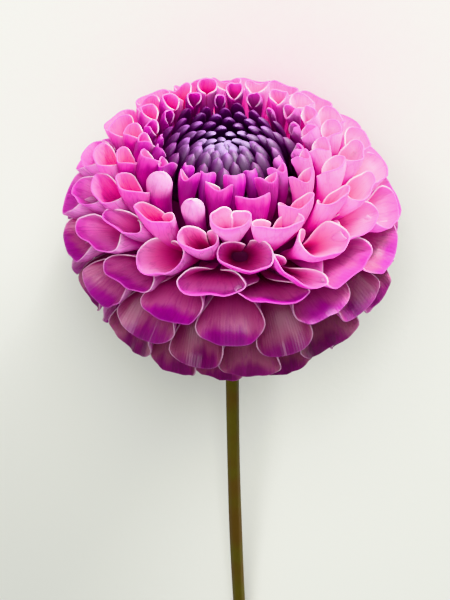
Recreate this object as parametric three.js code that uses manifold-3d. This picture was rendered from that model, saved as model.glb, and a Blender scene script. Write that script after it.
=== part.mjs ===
// A pompon dahlia: one cut flower head on its stem, lying on its side on a flat surface.
// Millimetres, +Z up, the surface is the plane z = 0. The bloom faces -Y and the stem runs to +Y.
// The flower is drawn upright in a frame of its own, with x to the right, y to the back and z along
// the bloom's axis, and the outermost group then lays it down.

import * as THREE from 'three';
import { mergeVertices } from 'three/addons/utils/BufferGeometryUtils.js';
import Module from 'manifold-3d';

const wasm = await Module();
wasm.setup();

// ---- Driving dimensions: millimetres and degrees ----

const AXIS_RISE = 15.1; // the bloom's axis rises this much above the surface
const BLOOM_CENTRE_HEIGHT = 27.7; // the bloom's middle above the surface
const BLOOM_CENTRE_Y = -37.9; // puts the middle of the flower's length at y = 0
const BLOOM_CENTRE_X = 0.2;
const GAP = 0.3; // clearance between neighbouring pieces

const GOLDEN_ANGLE = 137.47; // from each floret to the next, round the axis
const PHASE = 5.7; // bearing of floret PHASE_FLORET from the front
const PHASE_FLORET = 145;
const FIRST_RAY = 70; // florets before this one are the closed ones of the centre
const LAST_RAY = 224;
const RAY_THICKNESS = 0.66;
const MOUTH_PLACE = 0.86; // share of a petal's length at which its mouth is measured
const ROOT_WIDTH = 0.3; // width of a petal's root, as a share of its full width
const ROOT_START = 0.18; // share of a ray petal's length at which it is cut off, in the core
const CUP_BOTTOM = 0.5; // share of a rolled petal's length at which its hollow ends
const FIRST_OPEN = 155; // ray petals from this one on lie open
const ROLLED_SIDES = 6;
const OPEN_COLUMNS = 4;
const TONGUE_SIDES = 5;

const CALYX_TOP = -14.3;
const CALYX_BOTTOM = -20.6;
const BRACT_COUNT = 7;
const BRACT_SPREAD = 5.2; // how far a bract's tip stands out from its root
const BRACT_FALL = 5; // and how far it hangs below it
const BRACT_HALF_WIDTH = 2.8;
const BRACT_THICKNESS = 0.8;

const STEM_RADIUS = 1.3;
const STEM_SIDES = 10;
const STEM_STEPS = 8;
const STEM_LINE = [ // from the calyx to the cut end, with its slight bend to the right
  [0, CALYX_BOTTOM - GAP],
  [0.1, -40],
  [0.5, -62],
  [1.2, -84],
  [2.3, -106],
];
const STEM_CUT_ANGLE = -35; // the slant of the cut across the stem's end

// How the florets change from the middle of the bloom to its back, one stage a row. A mouth's
// radius and height place it round the bloom's middle. lean is where the tip points, from the
// axis: negative points inwards, 90 straight out, 180 back along the stem. closing is how much of
// a full turn the rolled petal closes, oval and flat press its tube flatter, keel folds its
// midrib, notch cuts its tip and rounding is the share of the length that the tip's curve takes.
const STAGE_FIELDS = [
  'index', 'radius', 'height', 'lean', 'length', 'halfWidth',
  'closing', 'oval', 'flat', 'keel', 'notch', 'rounding',
];
const STAGES = [
  [0, 0.0, 18.9, -85, 3.5, 0.8, 0.80, 0.00, 1.00, 0, 0.00, 0.60],
  [12, 3.6, 18.3, -82, 4.5, 1.2, 0.80, 0.00, 1.00, 0, 0.00, 0.60],
  [28, 6.0, 17.2, -78, 5.5, 1.7, 0.85, 0.00, 1.00, 0, 0.00, 0.60],
  [45, 8.2, 16.9, -68, 6.5, 2.3, 0.90, 0.10, 1.00, 0, 0.00, 0.50],
  [62, 10.2, 17.6, -54, 7.5, 3.2, 0.92, 0.20, 1.00, 0, 0.00, 0.40],
  [76, 12.0, 19.0, -40, 9.0, 4.2, 0.92, 0.25, 1.00, 10, 0.04, 0.30],
  [86, 13.7, 20.2, -26, 10.5, 5.2, 0.92, 0.30, 0.95, 20, 0.08, 0.22],
  [95, 15.3, 20.6, -14, 11.5, 6.0, 0.93, 0.35, 0.90, 25, 0.12, 0.18],
  [103, 16.9, 19.9, -5, 12.5, 6.8, 0.93, 0.40, 0.85, 30, 0.14, 0.18],
  [111, 18.4, 18.8, 4, 13.5, 7.4, 0.93, 0.45, 0.80, 30, 0.14, 0.20],
  [118, 19.6, 17.5, 13, 14.0, 8.2, 0.95, 0.50, 0.78, 30, 0.12, 0.22],
  [126, 21.0, 15.8, 24, 14.5, 9.2, 0.96, 0.50, 0.75, 30, 0.10, 0.25],
  [137, 23.0, 13.5, 38, 15.0, 10.2, 0.94, 0.50, 0.70, 20, 0.03, 0.30],
  [145, 24.4, 11.6, 48, 15.0, 11.0, 0.92, 0.50, 0.66, 8, 0.00, 0.34],
  [158, 26.6, 7.7, 64, 15.5, 12.6, 0.84, 0.50, 0.62, 0, 0.00, 0.40],
  [168, 27.7, 4.0, 88, 16.5, 11.6, 0.70, 0.50, 0.72, 0, 0.00, 0.50],
  [179, 28.0, -1.0, 118, 17.0, 10.2, 0.60, 0.40, 0.85, 0, 0.00, 0.55],
  [190, 27.0, -6.4, 142, 17.0, 9.0, 0.54, 0.30, 1.00, 0, 0.00, 0.55],
  [200, 24.5, -11.6, 158, 16.0, 8.2, 0.50, 0.30, 1.00, 0, 0.00, 0.55],
  [210, 20.8, -16.0, 166, 15.0, 7.6, 0.50, 0.30, 1.00, 0, 0.00, 0.55],
  [224, 13.6, -20.4, 174, 11.0, 6.0, 0.50, 0.30, 1.00, 0, 0.00, 0.55],
];

// Half axes of the round that the mouths lie on: petals leave the bloom's middle square to it.
const ROUND_RADIUS = 28.2;
const ROUND_HEIGHT = 23.1;

// ---- Small helpers ----

const radians = (degrees) => (degrees * Math.PI) / 180;

// A repeatable draw between -1 and 1 for one floret and one use.
function draw(index, use) {
  const value = Math.sin(index * 12.9898 + use * 78.233) * 43758.5453;
  return 2 * (value - Math.floor(value)) - 1;
}

// The stage of one floret, read off the table by its number.
function stageOf(index) {
  let row = 0;
  while (row < STAGES.length - 2 && STAGES[row + 1][0] < index) row += 1;
  const [low, high] = [STAGES[row], STAGES[row + 1]];
  const share = (index - low[0]) / (high[0] - low[0]);
  const stage = {};
  STAGE_FIELDS.forEach((field, column) => {
    stage[field] = low[column] + (high[column] - low[column]) * share;
  });
  return stage;
}

// The point at a distance from the bloom's axis, on a bearing counted from the front.
function roundAxis(bearing, radius, sideways, height) {
  return new THREE.Vector3(
    radius * Math.sin(bearing) + sideways * Math.cos(bearing),
    -radius * Math.cos(bearing) + sideways * Math.sin(bearing),
    height,
  );
}

function toGeometry(positions, faces) {
  const geometry = new THREE.BufferGeometry();
  geometry.setAttribute('position', new THREE.Float32BufferAttribute(positions, 3));
  geometry.setIndex(faces);
  return geometry;
}

function toSolid(source) {
  const bare = source.clone();
  bare.deleteAttribute('normal');
  bare.deleteAttribute('uv');
  const merged = mergeVertices(bare, 1e-4);
  return new wasm.Manifold(new wasm.Mesh({
    numProp: 3,
    vertProperties: new Float32Array(merged.attributes.position.array),
    triVerts: new Uint32Array(merged.index.array),
  }));
}

// Joins solids two by two, which is quicker than one after another.
function fuse(solids) {
  let row = solids;
  while (row.length > 1) {
    const next = [];
    for (let i = 0; i < row.length; i += 2) {
      next.push(i + 1 < row.length ? row[i].add(row[i + 1]) : row[i]);
    }
    row = next;
  }
  return row[0];
}

// The one large body of a solid: loose scraps are dropped and sealed hollows filled.
function largestBody(solid) {
  return solid.decompose().reduce((best, body) => (body.volume() > best.volume() ? body : best));
}

function fromSolid(solid) {
  const mesh = solid.getMesh();
  return toGeometry(Array.from(mesh.vertProperties), Array.from(mesh.triVerts));
}

// A solid's mesh. Merging points that nearly touch can part a scrap from it, so it is sorted twice.
function cleanGeometry(solid) {
  return fromSolid(largestBody(toSolid(fromSolid(largestBody(solid)))));
}

// A body turned round the bloom's axis from [radius, height] points, bottom first.
function turned(profile, sides) {
  const lathe = new THREE.LatheGeometry(profile.map(([r, z]) => new THREE.Vector2(r, z)), sides);
  lathe.rotateX(Math.PI / 2);
  return toSolid(lathe);
}

function block(width, depth, height, matrix) {
  const box = new THREE.BoxGeometry(width, depth, height);
  box.applyMatrix4(matrix);
  return toSolid(box);
}

// ---- Petals ----

// The cross-section of a rolled petal of half width 1, at a share of the way from its midrib, at
// the origin, to its edge: the place across and inwards, and the way the section runs there.
function rollPoint(stage, share) {
  const steps = 40;
  const wayAt = (q) => {
    const keel = radians(stage.keel) * (1 - Math.exp(-q / 0.08)) * (1 - q);
    return Math.PI * q - (stage.oval / 2) * Math.sin(2 * Math.PI * q) + keel;
  };
  let across = 0;
  let inward = 0;
  for (let i = 0; i < steps; i += 1) {
    const way = wayAt((share * (i + 0.5)) / steps);
    across += (Math.cos(way) * share) / steps;
    inward += (Math.sin(way) * share) / steps;
  }
  return { across, inward, way: wayAt(share) };
}

// The place and direction of a floret's own curve: an arc of a circle in a plane through the axis,
// from square to the bloom at its root to its lean at the tip, through its mouth.
function midribPoint(stage, along) {
  const start = Math.atan2(stage.radius / ROUND_RADIUS, stage.height / ROUND_HEIGHT);
  const bend = radians(stage.lean) - start;
  const angle = start + bend * along;
  const mouth = start + bend * MOUTH_PLACE;
  return {
    radius: stage.radius + (stage.length * (Math.cos(mouth) - Math.cos(angle))) / bend,
    height: stage.height + (stage.length * (Math.sin(angle) - Math.sin(mouth))) / bend,
    angle,
  };
}

// One point of a floret: along runs from root to tip, side from -1 to 1 across, and lift moves
// the point square to the rolled section, towards its inside.
function petalPoint(stage, along, side, lift) {
  const mid = midribPoint(stage, along);
  const opened = Math.min(along / 0.85, 1);
  const turn = 0.95 + (stage.closing - 0.95) * opened ** 1.5;
  const halfWidth = stage.halfWidth * (ROOT_WIDTH + (1 - ROOT_WIDTH) * opened ** 1.25);
  const scale = halfWidth / turn;
  const section = rollPoint(stage, Math.abs(side) * turn);
  const depth = rollPoint(stage, Math.min(turn, 0.97)).inward;
  const squash = 1 + (stage.flat - 1) * opened;
  const spread = 1 + (1 - stage.flat) * 0.5 * opened;
  const x = Math.sign(side) * (section.across * scale * spread - Math.sin(section.way) * lift);
  const y = (section.inward - depth / 2) * scale * squash + Math.cos(section.way) * lift;
  const sideways = x * Math.cos(stage.twist) - y * Math.sin(stage.twist);
  const inwards = x * Math.sin(stage.twist) + y * Math.cos(stage.twist);
  const radius = mid.radius - Math.cos(mid.angle) * inwards;
  const height = mid.height + Math.sin(mid.angle) * inwards;
  return roundAxis(stage.bearing, radius, sideways, height);
}

// Where the petal ends at one place across it: a rounded tip with a notch at the midrib.
function petalEnd(stage, side) {
  const curve = Math.sqrt(Math.max(1 - Math.abs(side) ** 2.3, 0));
  return 1 - stage.rounding * (1 - curve) - stage.notch * Math.exp(-((side / 0.2) ** 2));
}

// The stage of a floret with its own bearing and its small irregularities.
function floret(index) {
  const stage = stageOf(index);
  stage.bearing = radians(PHASE + (index - PHASE_FLORET) * GOLDEN_ANGLE + 1.7 * draw(index, 1));
  stage.lean += 4 * draw(index, 2);
  stage.length *= 1 + 0.05 * draw(index, 3);
  stage.halfWidth *= 1 + 0.06 * draw(index, 4);
  stage.twist = radians(9 * draw(index, 5));
  return stage;
}

// A closed sheet over a grid of points on each of its two faces: pointOf(i, j, lift). Every
// four-sided patch is split alike on both faces.
function sheet(rows, columns, thickness, pointOf) {
  const positions = [];
  for (const lift of [-thickness / 2, thickness / 2]) {
    for (let i = 0; i <= rows; i += 1) {
      for (let j = 0; j <= columns; j += 1) positions.push(...pointOf(i, j, lift).toArray());
    }
  }
  const layer = (rows + 1) * (columns + 1);
  const at = (i, j) => i * (columns + 1) + j;
  const faces = [];
  for (let i = 0; i < rows; i += 1) {
    for (let j = 0; j < columns; j += 1) {
      const [a, b, c, d] = [at(i, j), at(i, j + 1), at(i + 1, j + 1), at(i + 1, j)];
      faces.push(a, c, b, a, d, c);
      faces.push(a + layer, b + layer, c + layer, a + layer, c + layer, d + layer);
    }
  }
  const rim = [];
  for (let j = 0; j < columns; j += 1) rim.push([at(0, j), at(0, j + 1)]);
  for (let i = 0; i < rows; i += 1) rim.push([at(i, columns), at(i + 1, columns)]);
  for (let j = columns; j > 0; j -= 1) rim.push([at(rows, j), at(rows, j - 1)]);
  for (let i = rows; i > 0; i -= 1) rim.push([at(i, 0), at(i - 1, 0)]);
  for (const [a, b] of rim) faces.push(a, b, b + layer, a, b + layer, a + layer);
  return toSolid(toGeometry(positions, faces));
}

// A closed body of rings of points, from a first point to a last one.
function ringed(first, rings, last) {
  const sides = rings[0].length;
  const points = [...rings.flat(), first, last];
  const [start, end] = [points.length - 2, points.length - 1];
  const top = (rings.length - 1) * sides;
  const faces = [];
  for (let j = 0; j < sides; j += 1) {
    const next = (j + 1) % sides;
    faces.push(start, next, j);
    faces.push(end, top + j, top + next);
    for (let i = 0; i < top; i += sides) {
      faces.push(i + j, i + next, i + next + sides, i + j, i + next + sides, i + j + sides);
    }
  }
  return toSolid(toGeometry(points.flatMap((point) => point.toArray()), faces));
}

function curvePoint(stage, along) {
  const mid = midribPoint(stage, along);
  return roundAxis(stage.bearing, mid.radius, 0, mid.height);
}

// A petal rolled shut: a cup with a deep mouth, whose two edges meet in a seam.
function rolledPetal(stage) {
  const ring = (alongOf, lift) => {
    const points = [];
    for (let j = 0; j < ROLLED_SIDES; j += 1) {
      const side = (2 * j) / ROLLED_SIDES - 1;
      const point = petalPoint(stage, alongOf(side), side, lift);
      if (j === 0) point.lerp(petalPoint(stage, alongOf(1), 1, lift), 0.5);
      points.push(point);
    }
    return points;
  };
  const half = RAY_THICKNESS / 2;
  const tip = (side) => petalEnd(stage, side);
  return ringed(
    curvePoint(stage, ROOT_START),
    [ring(() => ROOT_START, -half), ring(tip, -half), ring(tip, half)],
    curvePoint(stage, CUP_BOTTOM),
  );
}

// A petal that lies open: a shell of one thickness.
function openPetal(stage) {
  return sheet(1, OPEN_COLUMNS, RAY_THICKNESS, (i, j, lift) => {
    const side = 1 - (2 * j) / OPEN_COLUMNS;
    const along = i === 0 ? ROOT_START : petalEnd(stage, side);
    return petalPoint(stage, along, side, lift);
  });
}

function rayPetal(index) {
  const stage = floret(index);
  return index < FIRST_OPEN ? rolledPetal(stage) : openPetal(stage);
}

// ---- Centre ----

// A closed floret of the centre: a tongue of round section that narrows to a blunt tip.
function tongue(index) {
  const stage = floret(index);
  const rings = [[0.2, 0.62], [0.75, 0.8], [0.95, 0.5]].map(([along, swell]) => {
    const mid = midribPoint(stage, along);
    const points = [];
    for (let j = 0; j < TONGUE_SIDES; j += 1) {
      const angle = (2 * Math.PI * j) / TONGUE_SIDES;
      const across = Math.cos(angle) * stage.halfWidth * 0.62 * swell;
      const inward = Math.sin(angle) * stage.halfWidth * 0.5 * swell;
      const radius = mid.radius - Math.cos(mid.angle) * inward;
      const height = mid.height + Math.sin(mid.angle) * inward;
      points.push(roundAxis(stage.bearing, radius, across, height));
    }
    return points;
  });
  return ringed(curvePoint(stage, 0.12), rings, curvePoint(stage, 1.04));
}

// The round that the centre's florets fill, inset by a margin from the pit in the petals' core.
function centrePit(margin) {
  return turned([
    [0, 8 + margin],
    [8.5 - margin, 8 + margin],
    [11.2 - margin, 13],
    [11.9 - margin, 18],
    [13.2 - margin, 26],
    [0, 26],
  ], 28);
}

function buildCentre() {
  const dome = turned([
    [0, 8 + GAP],
    [9, 8 + GAP],
    [12, 13],
    [11.4, 15.4],
    [7.6, 16.2],
    [4.4, 17.3],
    [1.8, 18.2],
    [0, 18.4],
  ], 24);
  const florets = [];
  for (let index = 0; index < FIRST_RAY; index += 1) florets.push(tongue(index));
  return fuse([dome, ...florets]).intersect(centrePit(GAP));
}

function buildPetals(table) {
  const core = turned([
    [0, -14],
    [8, -14],
    [15.5, -11.8],
    [20, -6],
    [21.4, 0],
    [20.9, 5.5],
    [19, 10.2],
    [16.2, 14.2],
    [13.6, 15.6],
    [0, 17],
  ], 20);
  const rays = [];
  for (let index = FIRST_RAY; index <= LAST_RAY; index += 1) rays.push(rayPetal(index));
  return fuse([core, ...rays]).subtract(centrePit(0)).subtract(table);
}

// ---- Calyx and stem ----

// One green leaf of the calyx: it spreads from the cup and hangs at its pointed tip.
function bract(number) {
  const bearing = (2 * Math.PI * (number + 0.3)) / BRACT_COUNT;
  const widths = [0.55, 1, 0.85, 0.2];
  const rows = widths.length - 1;
  return sheet(rows, 2, BRACT_THICKNESS, (i, j, lift) => {
    const along = i / rows;
    const radius = 4.2 + BRACT_SPREAD * along;
    const fold = 0.6 * Math.abs(j - 1);
    const height = -17.8 - BRACT_FALL * along ** 1.5 + fold + lift;
    return roundAxis(bearing, radius, BRACT_HALF_WIDTH * widths[i] * (1 - j), height);
  });
}

function buildCalyx() {
  const cup = turned([
    [0, CALYX_BOTTOM],
    [2.4, CALYX_BOTTOM],
    [3.2, -19.4],
    [5.4, -17.8],
    [7.4, -15.6],
    [7.8, CALYX_TOP],
    [0, CALYX_TOP],
  ], 24);
  const bracts = [];
  for (let number = 0; number < BRACT_COUNT; number += 1) bracts.push(bract(number));
  return fuse([cup, ...bracts]);
}

function buildStem(table) {
  const line = new THREE.CatmullRomCurve3(STEM_LINE.map(([x, z]) => new THREE.Vector3(x, 0, z)));
  const section = new THREE.Shape().absarc(0, 0, STEM_RADIUS, 0, 2 * Math.PI);
  const stem = new THREE.ExtrudeGeometry(section, {
    steps: STEM_STEPS,
    curveSegments: STEM_SIDES,
    extrudePath: line,
  });
  const [endX, endZ] = STEM_LINE[STEM_LINE.length - 1];
  const knife = new THREE.Matrix4().makeRotationX(radians(STEM_CUT_ANGLE));
  knife.setPosition(endX, 0, endZ - 7);
  return toSolid(stem).subtract(block(12, 12, 20, knife)).subtract(table);
}

// ---- The flower, laid down ----

const flower = new THREE.Group();
flower.rotation.set(radians(AXIS_RISE - 90), 0, Math.PI, 'ZYX');
flower.position.set(BLOOM_CENTRE_X, BLOOM_CENTRE_Y, BLOOM_CENTRE_HEIGHT);
flower.updateMatrixWorld();

// The surface below the flower, seen from the flower's own frame: what reaches it is pressed flat.
const surface = new THREE.Matrix4().makeTranslation(0, 0, -20);
const table = block(300, 300, 40, surface.premultiply(flower.matrixWorld.clone().invert()));

function addPiece(name, solid, colour, roughness) {
  const material = new THREE.MeshStandardMaterial({ color: colour, roughness, metalness: 0 });
  const mesh = new THREE.Mesh(cleanGeometry(solid), material);
  mesh.name = name;
  flower.add(mesh);
}

addPiece('petals', buildPetals(table), '#c2278b', 0.55);
addPiece('centre_florets', buildCentre(), '#4a1a55', 0.6);
addPiece('calyx', buildCalyx(), '#6f8a45', 0.65);
addPiece('stem', buildStem(table), '#7d6a45', 0.6);

const part = new THREE.Group();
part.add(flower);

export default part;
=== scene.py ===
"""A cut pompon dahlia lying on a pale surface.

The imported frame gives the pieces' places. Each of its nodes is replaced here by a finer piece of
the same form: the closed florets of the centre, the ray petals on their heart, the green calyx
with its bracts, and the stem.
Lengths are in millimetres in the flower's own frame (x to the right, y to the back, z along the
bloom's axis) until a mesh is made, and in metres after that.
"""
import logging
import math
from dataclasses import dataclass, fields, replace
from enum import Enum, IntEnum

import bpy
import numpy as np
from mathutils import Matrix, Vector


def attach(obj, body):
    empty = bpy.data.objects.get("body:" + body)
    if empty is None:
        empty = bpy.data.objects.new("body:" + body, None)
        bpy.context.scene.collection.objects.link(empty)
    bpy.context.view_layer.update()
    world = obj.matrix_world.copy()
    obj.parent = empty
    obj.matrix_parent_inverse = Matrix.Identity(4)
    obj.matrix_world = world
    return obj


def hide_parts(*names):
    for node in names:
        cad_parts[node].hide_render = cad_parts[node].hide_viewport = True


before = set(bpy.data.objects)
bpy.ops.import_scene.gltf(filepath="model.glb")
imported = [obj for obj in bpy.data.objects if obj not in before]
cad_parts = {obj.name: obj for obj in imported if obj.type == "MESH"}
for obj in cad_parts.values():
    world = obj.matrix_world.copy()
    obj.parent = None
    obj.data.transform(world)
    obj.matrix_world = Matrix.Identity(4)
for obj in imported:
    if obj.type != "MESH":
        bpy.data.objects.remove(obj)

LOG = logging.getLogger("dahlia")
MM = 0.001
IMAGE_WIDTH_PX = 450
IMAGE_HEIGHT_PX = 600


# ---------------------------------------------------------------------------------------------
# The flower's frame
# ---------------------------------------------------------------------------------------------


@dataclass(frozen=True)
class LyingPose:
    """Where the flower lies: the rise of its axis and the place of the bloom's middle."""

    axis_rise_deg: float = 15.1
    centre_mm: tuple[float, float, float] = (0.2, -37.9, 27.7)
    press_depth_mm: float = 0.9

    def axes(self) -> np.ndarray:
        """Return the flower frame's three axes, as the columns of a matrix in the world.

        Returns:
            A 3 by 3 rotation matrix.
        """
        rise = math.radians(self.axis_rise_deg)
        right = (-1.0, 0.0, 0.0)
        back = (0.0, -math.sin(rise), -math.cos(rise))
        axis = (0.0, -math.cos(rise), math.sin(rise))
        return np.array([right, back, axis]).T

    def to_world(self, points: np.ndarray) -> np.ndarray:
        """Lay points of the flower's frame down in the world, pressed flat on the surface.

        Args:
            points: Places in millimetres in the flower's frame, one a row.

        Returns:
            The places in metres in the world.
        """
        laid = points @ self.axes().T + np.array(self.centre_mm)
        low = self.press_depth_mm
        pressed = low * np.exp(np.minimum(laid[:, 2] / low - 1.0, 0.0))
        laid[:, 2] = np.where(laid[:, 2] < low, pressed, laid[:, 2])
        return laid * MM

    def direction(self, vector: tuple[float, float, float]) -> Vector:
        """Turn a direction of the flower's frame into one of the world.

        Args:
            vector: Direction to the right, to the back and along the bloom's axis.

        Returns:
            The unit direction in the world.
        """
        return Vector(self.axes() @ np.array(vector)).normalized()


POSE = LyingPose()


# ---------------------------------------------------------------------------------------------
# Florets on their spiral
# ---------------------------------------------------------------------------------------------


@dataclass(frozen=True)
class Stage:
    """What a floret is like at one place of the spiral, from the middle of the bloom outwards.

    radius and height place its mouth round the bloom's middle. lean is where its tip points, from
    the axis: negative inwards, 90 straight out, 180 back along the stem. closing is how much of a
    full turn it closes, oval and flat press its tube flatter, keel folds its midrib, curl rolls
    its edges in, hood draws its mouth together, notch cuts its tip, rounding is the share of its
    length that the tip takes, flare is how late it widens and twist how far its left edge sinks.
    """

    index: float
    radius: float
    height: float
    lean: float
    length: float
    half_width: float
    closing: float
    oval: float
    flat: float
    keel: float
    curl: float
    hood: float
    notch: float
    rounding: float
    flare: float
    twist: float


STAGES: tuple[Stage, ...] = (
    Stage(0, 0.0, 18.0, -84, 4.0, 0.80, 0.80, 0.00, 1.00, 0, 0, 0.0, 0.00, 0.60, 1.50, 0),
    Stage(12, 3.4, 18.5, -72, 6.5, 1.10, 0.80, 0.00, 1.00, 0, 0, 0.0, 0.00, 0.60, 1.50, 0),
    Stage(28, 5.8, 19.2, -58, 8.5, 1.40, 0.85, 0.00, 1.00, 0, 0, 0.0, 0.00, 0.60, 1.50, 0),
    Stage(45, 8.0, 19.4, -46, 9.5, 1.55, 0.90, 0.10, 1.00, 0, 0, 0.0, 0.00, 0.50, 1.50, 0),
    Stage(62, 10.1, 19.0, -42, 9.5, 1.30, 0.92, 0.20, 1.00, 0, 0, 0.5, 0.04, 0.40, 1.50, 0),
    Stage(69, 11.0, 19.2, -42, 9.5, 1.6, 0.94, 0.22, 1.00, 5, 0, 0.4, 0.06, 0.35, 1.50, 0),
    Stage(76, 12.0, 19.6, -42, 9.5, 3.6, 0.97, 0.25, 1.00, 10, 0, 0.3, 0.10, 0.30, 1.50, 0),
    Stage(86, 13.7, 20.2, -36, 10.5, 4.9, 0.98, 0.30, 0.95, 20, 0, 0.2, 0.12, 0.22, 1.40, 0),
    Stage(95, 15.0, 20.6, -28, 11.5, 5.8, 0.98, 0.35, 0.88, 25, 10, 0.1, 0.13, 0.20, 1.24, 0),
    Stage(103, 16.4, 19.9, -18, 12.5, 6.8, 0.99, 0.40, 0.80, 25, 15, 0.0, 0.12, 0.20, 1.15, 0),
    Stage(111, 18.2, 18.8, -8, 13.5, 7.8, 1.00, 0.45, 0.76, 20, 20, 0.0, 0.10, 0.24, 1.16, 0),
    Stage(118, 20.0, 17.7, 5, 14.0, 8.8, 1.01, 0.60, 0.80, 15, 15, 0.0, 0.10, 0.28, 1.17, 0),
    Stage(126, 21.8, 16.3, 19, 14.5, 9.8, 1.01, 0.70, 0.80, 15, 10, 0.0, 0.05, 0.30, 1.18, 0),
    Stage(137, 23.6, 13.8, 36, 15.0, 10.8, 1.00, 0.75, 0.80, 12, 5, 0.0, 0.02, 0.32, 1.19, 0),
    Stage(145, 24.6, 11.7, 47, 15.0, 11.6, 0.98, 0.75, 0.78, 10, 0, 0.0, 0.00, 0.36, 1.20, 0),
    Stage(158, 26.6, 7.7, 63, 15.5, 12.6, 0.88, 0.70, 0.72, 6, 0, 0.0, 0.00, 0.44, 0.90, 6),
    Stage(168, 27.7, 4.0, 88, 16.5, 10.7, 0.70, 0.50, 0.70, 0, 0, 0.0, 0.00, 0.52, 0.60, 9),
    Stage(179, 28.0, -0.7, 120, 17.5, 9.6, 0.62, 0.40, 0.82, 0, 0, 0.0, 0.00, 0.54, 0.55, 9),
    Stage(190, 27.0, -6.8, 146, 18.0, 8.4, 0.56, 0.30, 1.00, 0, 0, 0.0, 0.00, 0.52, 0.55, 9),
    Stage(200, 24.5, -12.2, 161, 17.0, 7.6, 0.52, 0.30, 1.00, 0, 0, 0.0, 0.00, 0.50, 0.60, 4),
    Stage(210, 20.8, -16.4, 168, 15.5, 7.0, 0.50, 0.30, 1.00, 0, 0, 0.0, 0.00, 0.50, 0.70, 0),
    Stage(224, 13.6, -20.4, 176, 11.0, 5.8, 0.50, 0.30, 1.00, 0, 0, 0.0, 0.00, 0.50, 0.80, 0),
)

# Petals that stand out in the photograph: what each has of its own.
PORTRAITS: dict[int, dict[str, float]] = {
    108: {"hood": 1.0, "closing": 1.0, "notch": 0.0, "half_width": 7.0, "flat": 1.0, "length": 12.5,
          "oval": 0.0, "rounding": 0.0, "curl": 0.0, "keel": 0.0, "flare": 0.6},
    116: {"half_width": 5.8, "height": 17.8, "length": 11.0, "closing": 1.0, "hood": 1.0,
          "lean": 20.0, "notch": 0.0, "rounding": 0.0, "flat": 1.0, "oval": 0.0, "curl": 0.0,
          "keel": 0.0, "flare": 0.6},
    124: {"radius": 22.4, "height": 16.3, "half_width": 11.4, "closing": 1.0, "flat": 0.74, "keel": 50.0,
          "curl": 80.0, "lean": 34.0, "notch": 0.0, "oval": 0.9, "rounding": 0.03, "flare": 2.0},
    132: {"half_width": 11.6, "height": 15.8, "flat": 0.8, "curl": 60.0},
    137: {"half_width": 9.8, "flat": 1.25},
    140: {"radius": 24.6, "height": 11.0, "half_width": 12.4, "flat": 1.15, "closing": 0.93},
    145: {"half_width": 12.4, "flat": 1.0},
    150: {"half_width": 12.0, "flat": 1.1},
    153: {"radius": 26.6, "height": 8.2, "half_width": 9.6, "flat": 0.6, "twist": -38.0, "closing": 0.84},
    163: {"half_width": 9.6, "twist": -6.0},
    166: {"height": 5.8, "half_width": 11.4, "flat": 0.36, "lean": 68.0, "closing": 0.88, "twist": -8.0},
    171: {"half_width": 9.0},
    174: {"half_width": 8.6},
    181: {"half_width": 11.4},
    183: {"half_width": 11.4},
    189: {"height": -4.8},
    194: {"half_width": 10.2},
    195: {"half_width": 10.4},
    199: {"half_width": 8.8},
    200: {"half_width": 8.8},
    202: {"height": -12.0},
}

# The spiral: each floret stands one golden angle on. The photograph gives one floret's bearing.
GOLDEN_ANGLE_DEG = 137.47
PHASE_FLORET = 145
PHASE_DEG = 5.7
LAST_FLORET = 224

# The round form that the petals grow out of, and the share of a petal's length at its mouth.
ROUND_RADIUS = 28.2
ROUND_HEIGHT = 23.1
MOUTH_PLACE = 0.86

# The middle stands a little to the left, and the crown round it is higher at the back.
CENTRE_SHIFT = -1.2
SHIFT_FLORETS = (0, 60, 120)
CROWN_RISE = 0.7
CROWN_LEAN_DEG = 9.0
CROWN_FLORETS = (40, 80, 118, 140)
CROWN_SHARES = (0.0, 1.0, 1.0, 0.0)

# Petals that are paler in the photograph than their neighbours: their own painted highlight.
PAINTED_HIGHLIGHT_PORTRAITS: dict[int, float] = {108: 0.55, 116: 0.7, 124: 1.0, 132: 0.9, 137: 0.4, 150: 0.3}

# Waves along a petal's edge: their height for a petal of scale 1, how many, and their start.
RUFFLE: tuple[tuple[float, float, float], ...] = (
    (0.030, 5.3, 1.0), (0.014, 13.7, 2.0), (0.005, 23.0, 1.0),
)
RUFFLE_START = 6.0

# Rows and columns of a petal's mesh stand closer by this power towards its edges.
EDGE_CROWDING = 1.3

# Numbers that scatter a sine into draws.
SCATTER = (12.9898, 78.233, 43758.5453)


class Draw(IntEnum):
    """What a floret's draws are used for."""

    BEARING = 1
    LEAN = 2
    LENGTH = 3
    HALF_WIDTH = 4
    TWIST = 5
    RUFFLE = 6
    SHADE = 7
    CLOSING = 8
    FLAT = 9
    NOTCH = 11
    SKEW = 12
    LAP = 13
    PALENESS = 14
    BRACT_BEARING = 31
    BRACT_REACH = 32


def draw(index: int, use: int) -> float:
    """Give the repeatable draw of one floret for one use.

    Args:
        index: The floret's number.
        use: Which of its draws.

    Returns:
        A number between -1 and 1.
    """
    value = math.sin(index * SCATTER[0] + use * SCATTER[1]) * SCATTER[2]
    return 2.0 * (value - math.floor(value)) - 1.0


def stage_at(index: int) -> Stage:
    """Read the stage of one floret off the table.

    Args:
        index: The floret's number.

    Returns:
        The stage, with what the photograph shows of that floret alone.
    """
    keys = [stage.index for stage in STAGES]
    values = {
        item.name: float(np.interp(index, keys, [getattr(stage, item.name) for stage in STAGES]))
        for item in fields(Stage)
    }
    return replace(Stage(**values), **PORTRAITS.get(index, {}))


@dataclass(frozen=True)
class Spread:
    """How far florets differ from their stage, either way."""

    bearing_deg: float = 1.7
    lean_deg: float = 4.0
    length: float = 0.05
    half_width: float = 0.06
    closing: float = 0.02
    flat: float = 0.10
    notch: float = 0.6
    skew: float = 0.05
    twist_deg: float = 7.0


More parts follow.
